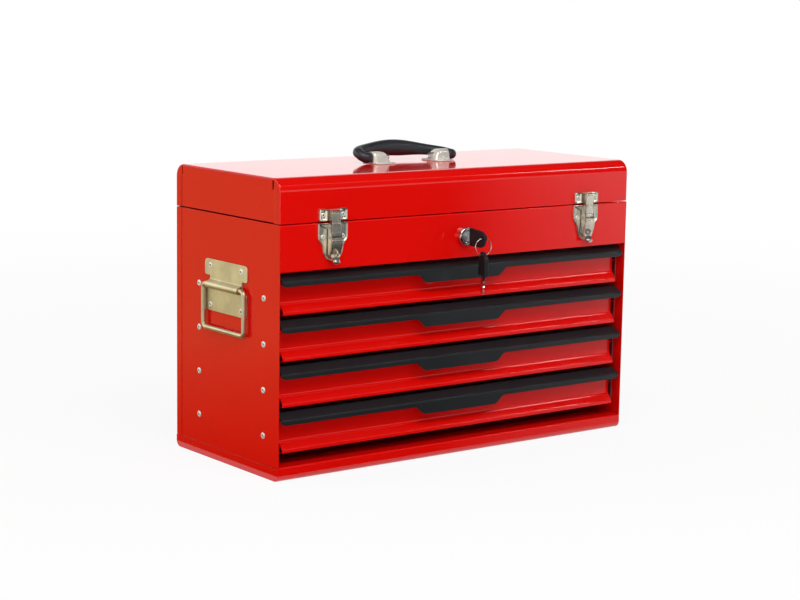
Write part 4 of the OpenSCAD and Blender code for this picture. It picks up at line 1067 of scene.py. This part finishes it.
def light_sky(look):
    """Even light from all round; the camera and mirror-like surfaces see plain white."""
    world = bpy.data.worlds.new("Studio")
    bpy.context.scene.world = world
    world.use_nodes = True
    mix = Mix(world.node_tree)
    light = mix.tree.nodes["Background"]
    mix.feed(light, {"Color": (1, 1, 1, 1), "Strength": look.sky})
    white = mix.node("Background", {}, {"Color": (1, 1, 1, 1), "Strength": 1.0})
    seen = mix.ray("Camera") | mix.ray("Glossy") | mix.ray("Transmission")
    mix.show(mix.node("MixShader", {}, {0: seen, 1: Value(mix, light.outputs[0]), 2: white}), "World Output")


def place_camera(scene):
    """Stands off the left front corner, a little above the lid, with a long lens."""
    azimuth, elevation, roll = (math.radians(v) for v in (-37.298, 9.007, 0.950))
    back = np.array([math.sin(azimuth) * math.cos(elevation), -math.cos(azimuth) * math.cos(elevation),
                     math.sin(elevation)])
    level = np.array([math.cos(azimuth), math.sin(azimuth), 0.0])
    up = np.cross(back, level)
    right = math.cos(roll) * level + math.sin(roll) * up
    above = -math.sin(roll) * level + math.cos(roll) * up
    lens = bpy.data.cameras.new("Camera")
    lens.sensor_width, lens.lens = 36.0, 88.15
    scene.camera = placed("Camera", lens)
    stand(scene.camera, (right, above, back), (-1.4417, -1.8799, 0.5458))


class ToolBoxStageSet(bpy.types.Operator):
    """Set up the pale floor, the soft lights and the camera"""
    bl_idname = "tool_box.stage"
    bl_label = "Stage"

    def execute(self, context):
        look = context.scene.tool_box_stage
        lay_floor(look)
        light_sky(look)
        middle = (0.0, 0.0, 0.17)
        sheet_of_light("Key_light", (-0.5, -1.5, 1.9), middle, 2.6, 0.7, look.key)
        sheet_of_light("Fill_light", (-2.4, 1.2, 1.2), middle, 1.2, 1.6, look.fill)
        hang_cards(look)
        place_camera(context.scene)
        context.scene.view_settings.view_transform = "Standard"
        return {"FINISHED"}


class ToolBoxPanel(bpy.types.Panel):
    """Sizes, colours and building steps of the tool box"""
    bl_idname = "VIEW3D_PT_tool_box"
    bl_label = "Tool Box"
    bl_space_type = "VIEW_3D"
    bl_region_type = "UI"
    bl_category = "Tool Box"

    def draw(self, context):
        for group in ("tool_box_sizes", "tool_box_colours", "tool_box_stage"):
            held = getattr(context.scene, group)
            box = self.layout.box()
            for key in held.__annotations__:
                box.prop(held, key)
        for step in STEPS:
            self.layout.operator(step.bl_idname)


GROUPS = {"tool_box_sizes": ToolBoxSizes, "tool_box_colours": ToolBoxColours, "tool_box_stage": ToolBoxStage}
STEPS = (ToolBoxFinishes, ToolBoxCase, ToolBoxLid, ToolBoxDrawers, ToolBoxRivets, ToolBoxLatches, ToolBoxLock,
         ToolBoxCarryHandle, ToolBoxSideHandles, ToolBoxStageSet)


def register():
    for kind in (*GROUPS.values(), *STEPS, ToolBoxPanel):
        bpy.utils.register_class(kind)
    for name, kind in GROUPS.items():
        setattr(bpy.types.Scene, name, bpy.props.PointerProperty(type=kind))


def unregister():
    for name in GROUPS:
        delattr(bpy.types.Scene, name)
    for kind in (ToolBoxPanel, *reversed(STEPS), *reversed(GROUPS.values())):
        bpy.utils.unregister_class(kind)


def main():
    register()
    for step in STEPS:
        family, name = step.bl_idname.split(".")
        getattr(getattr(bpy.ops, family), name)()


if __name__ == "__main__":
    main()
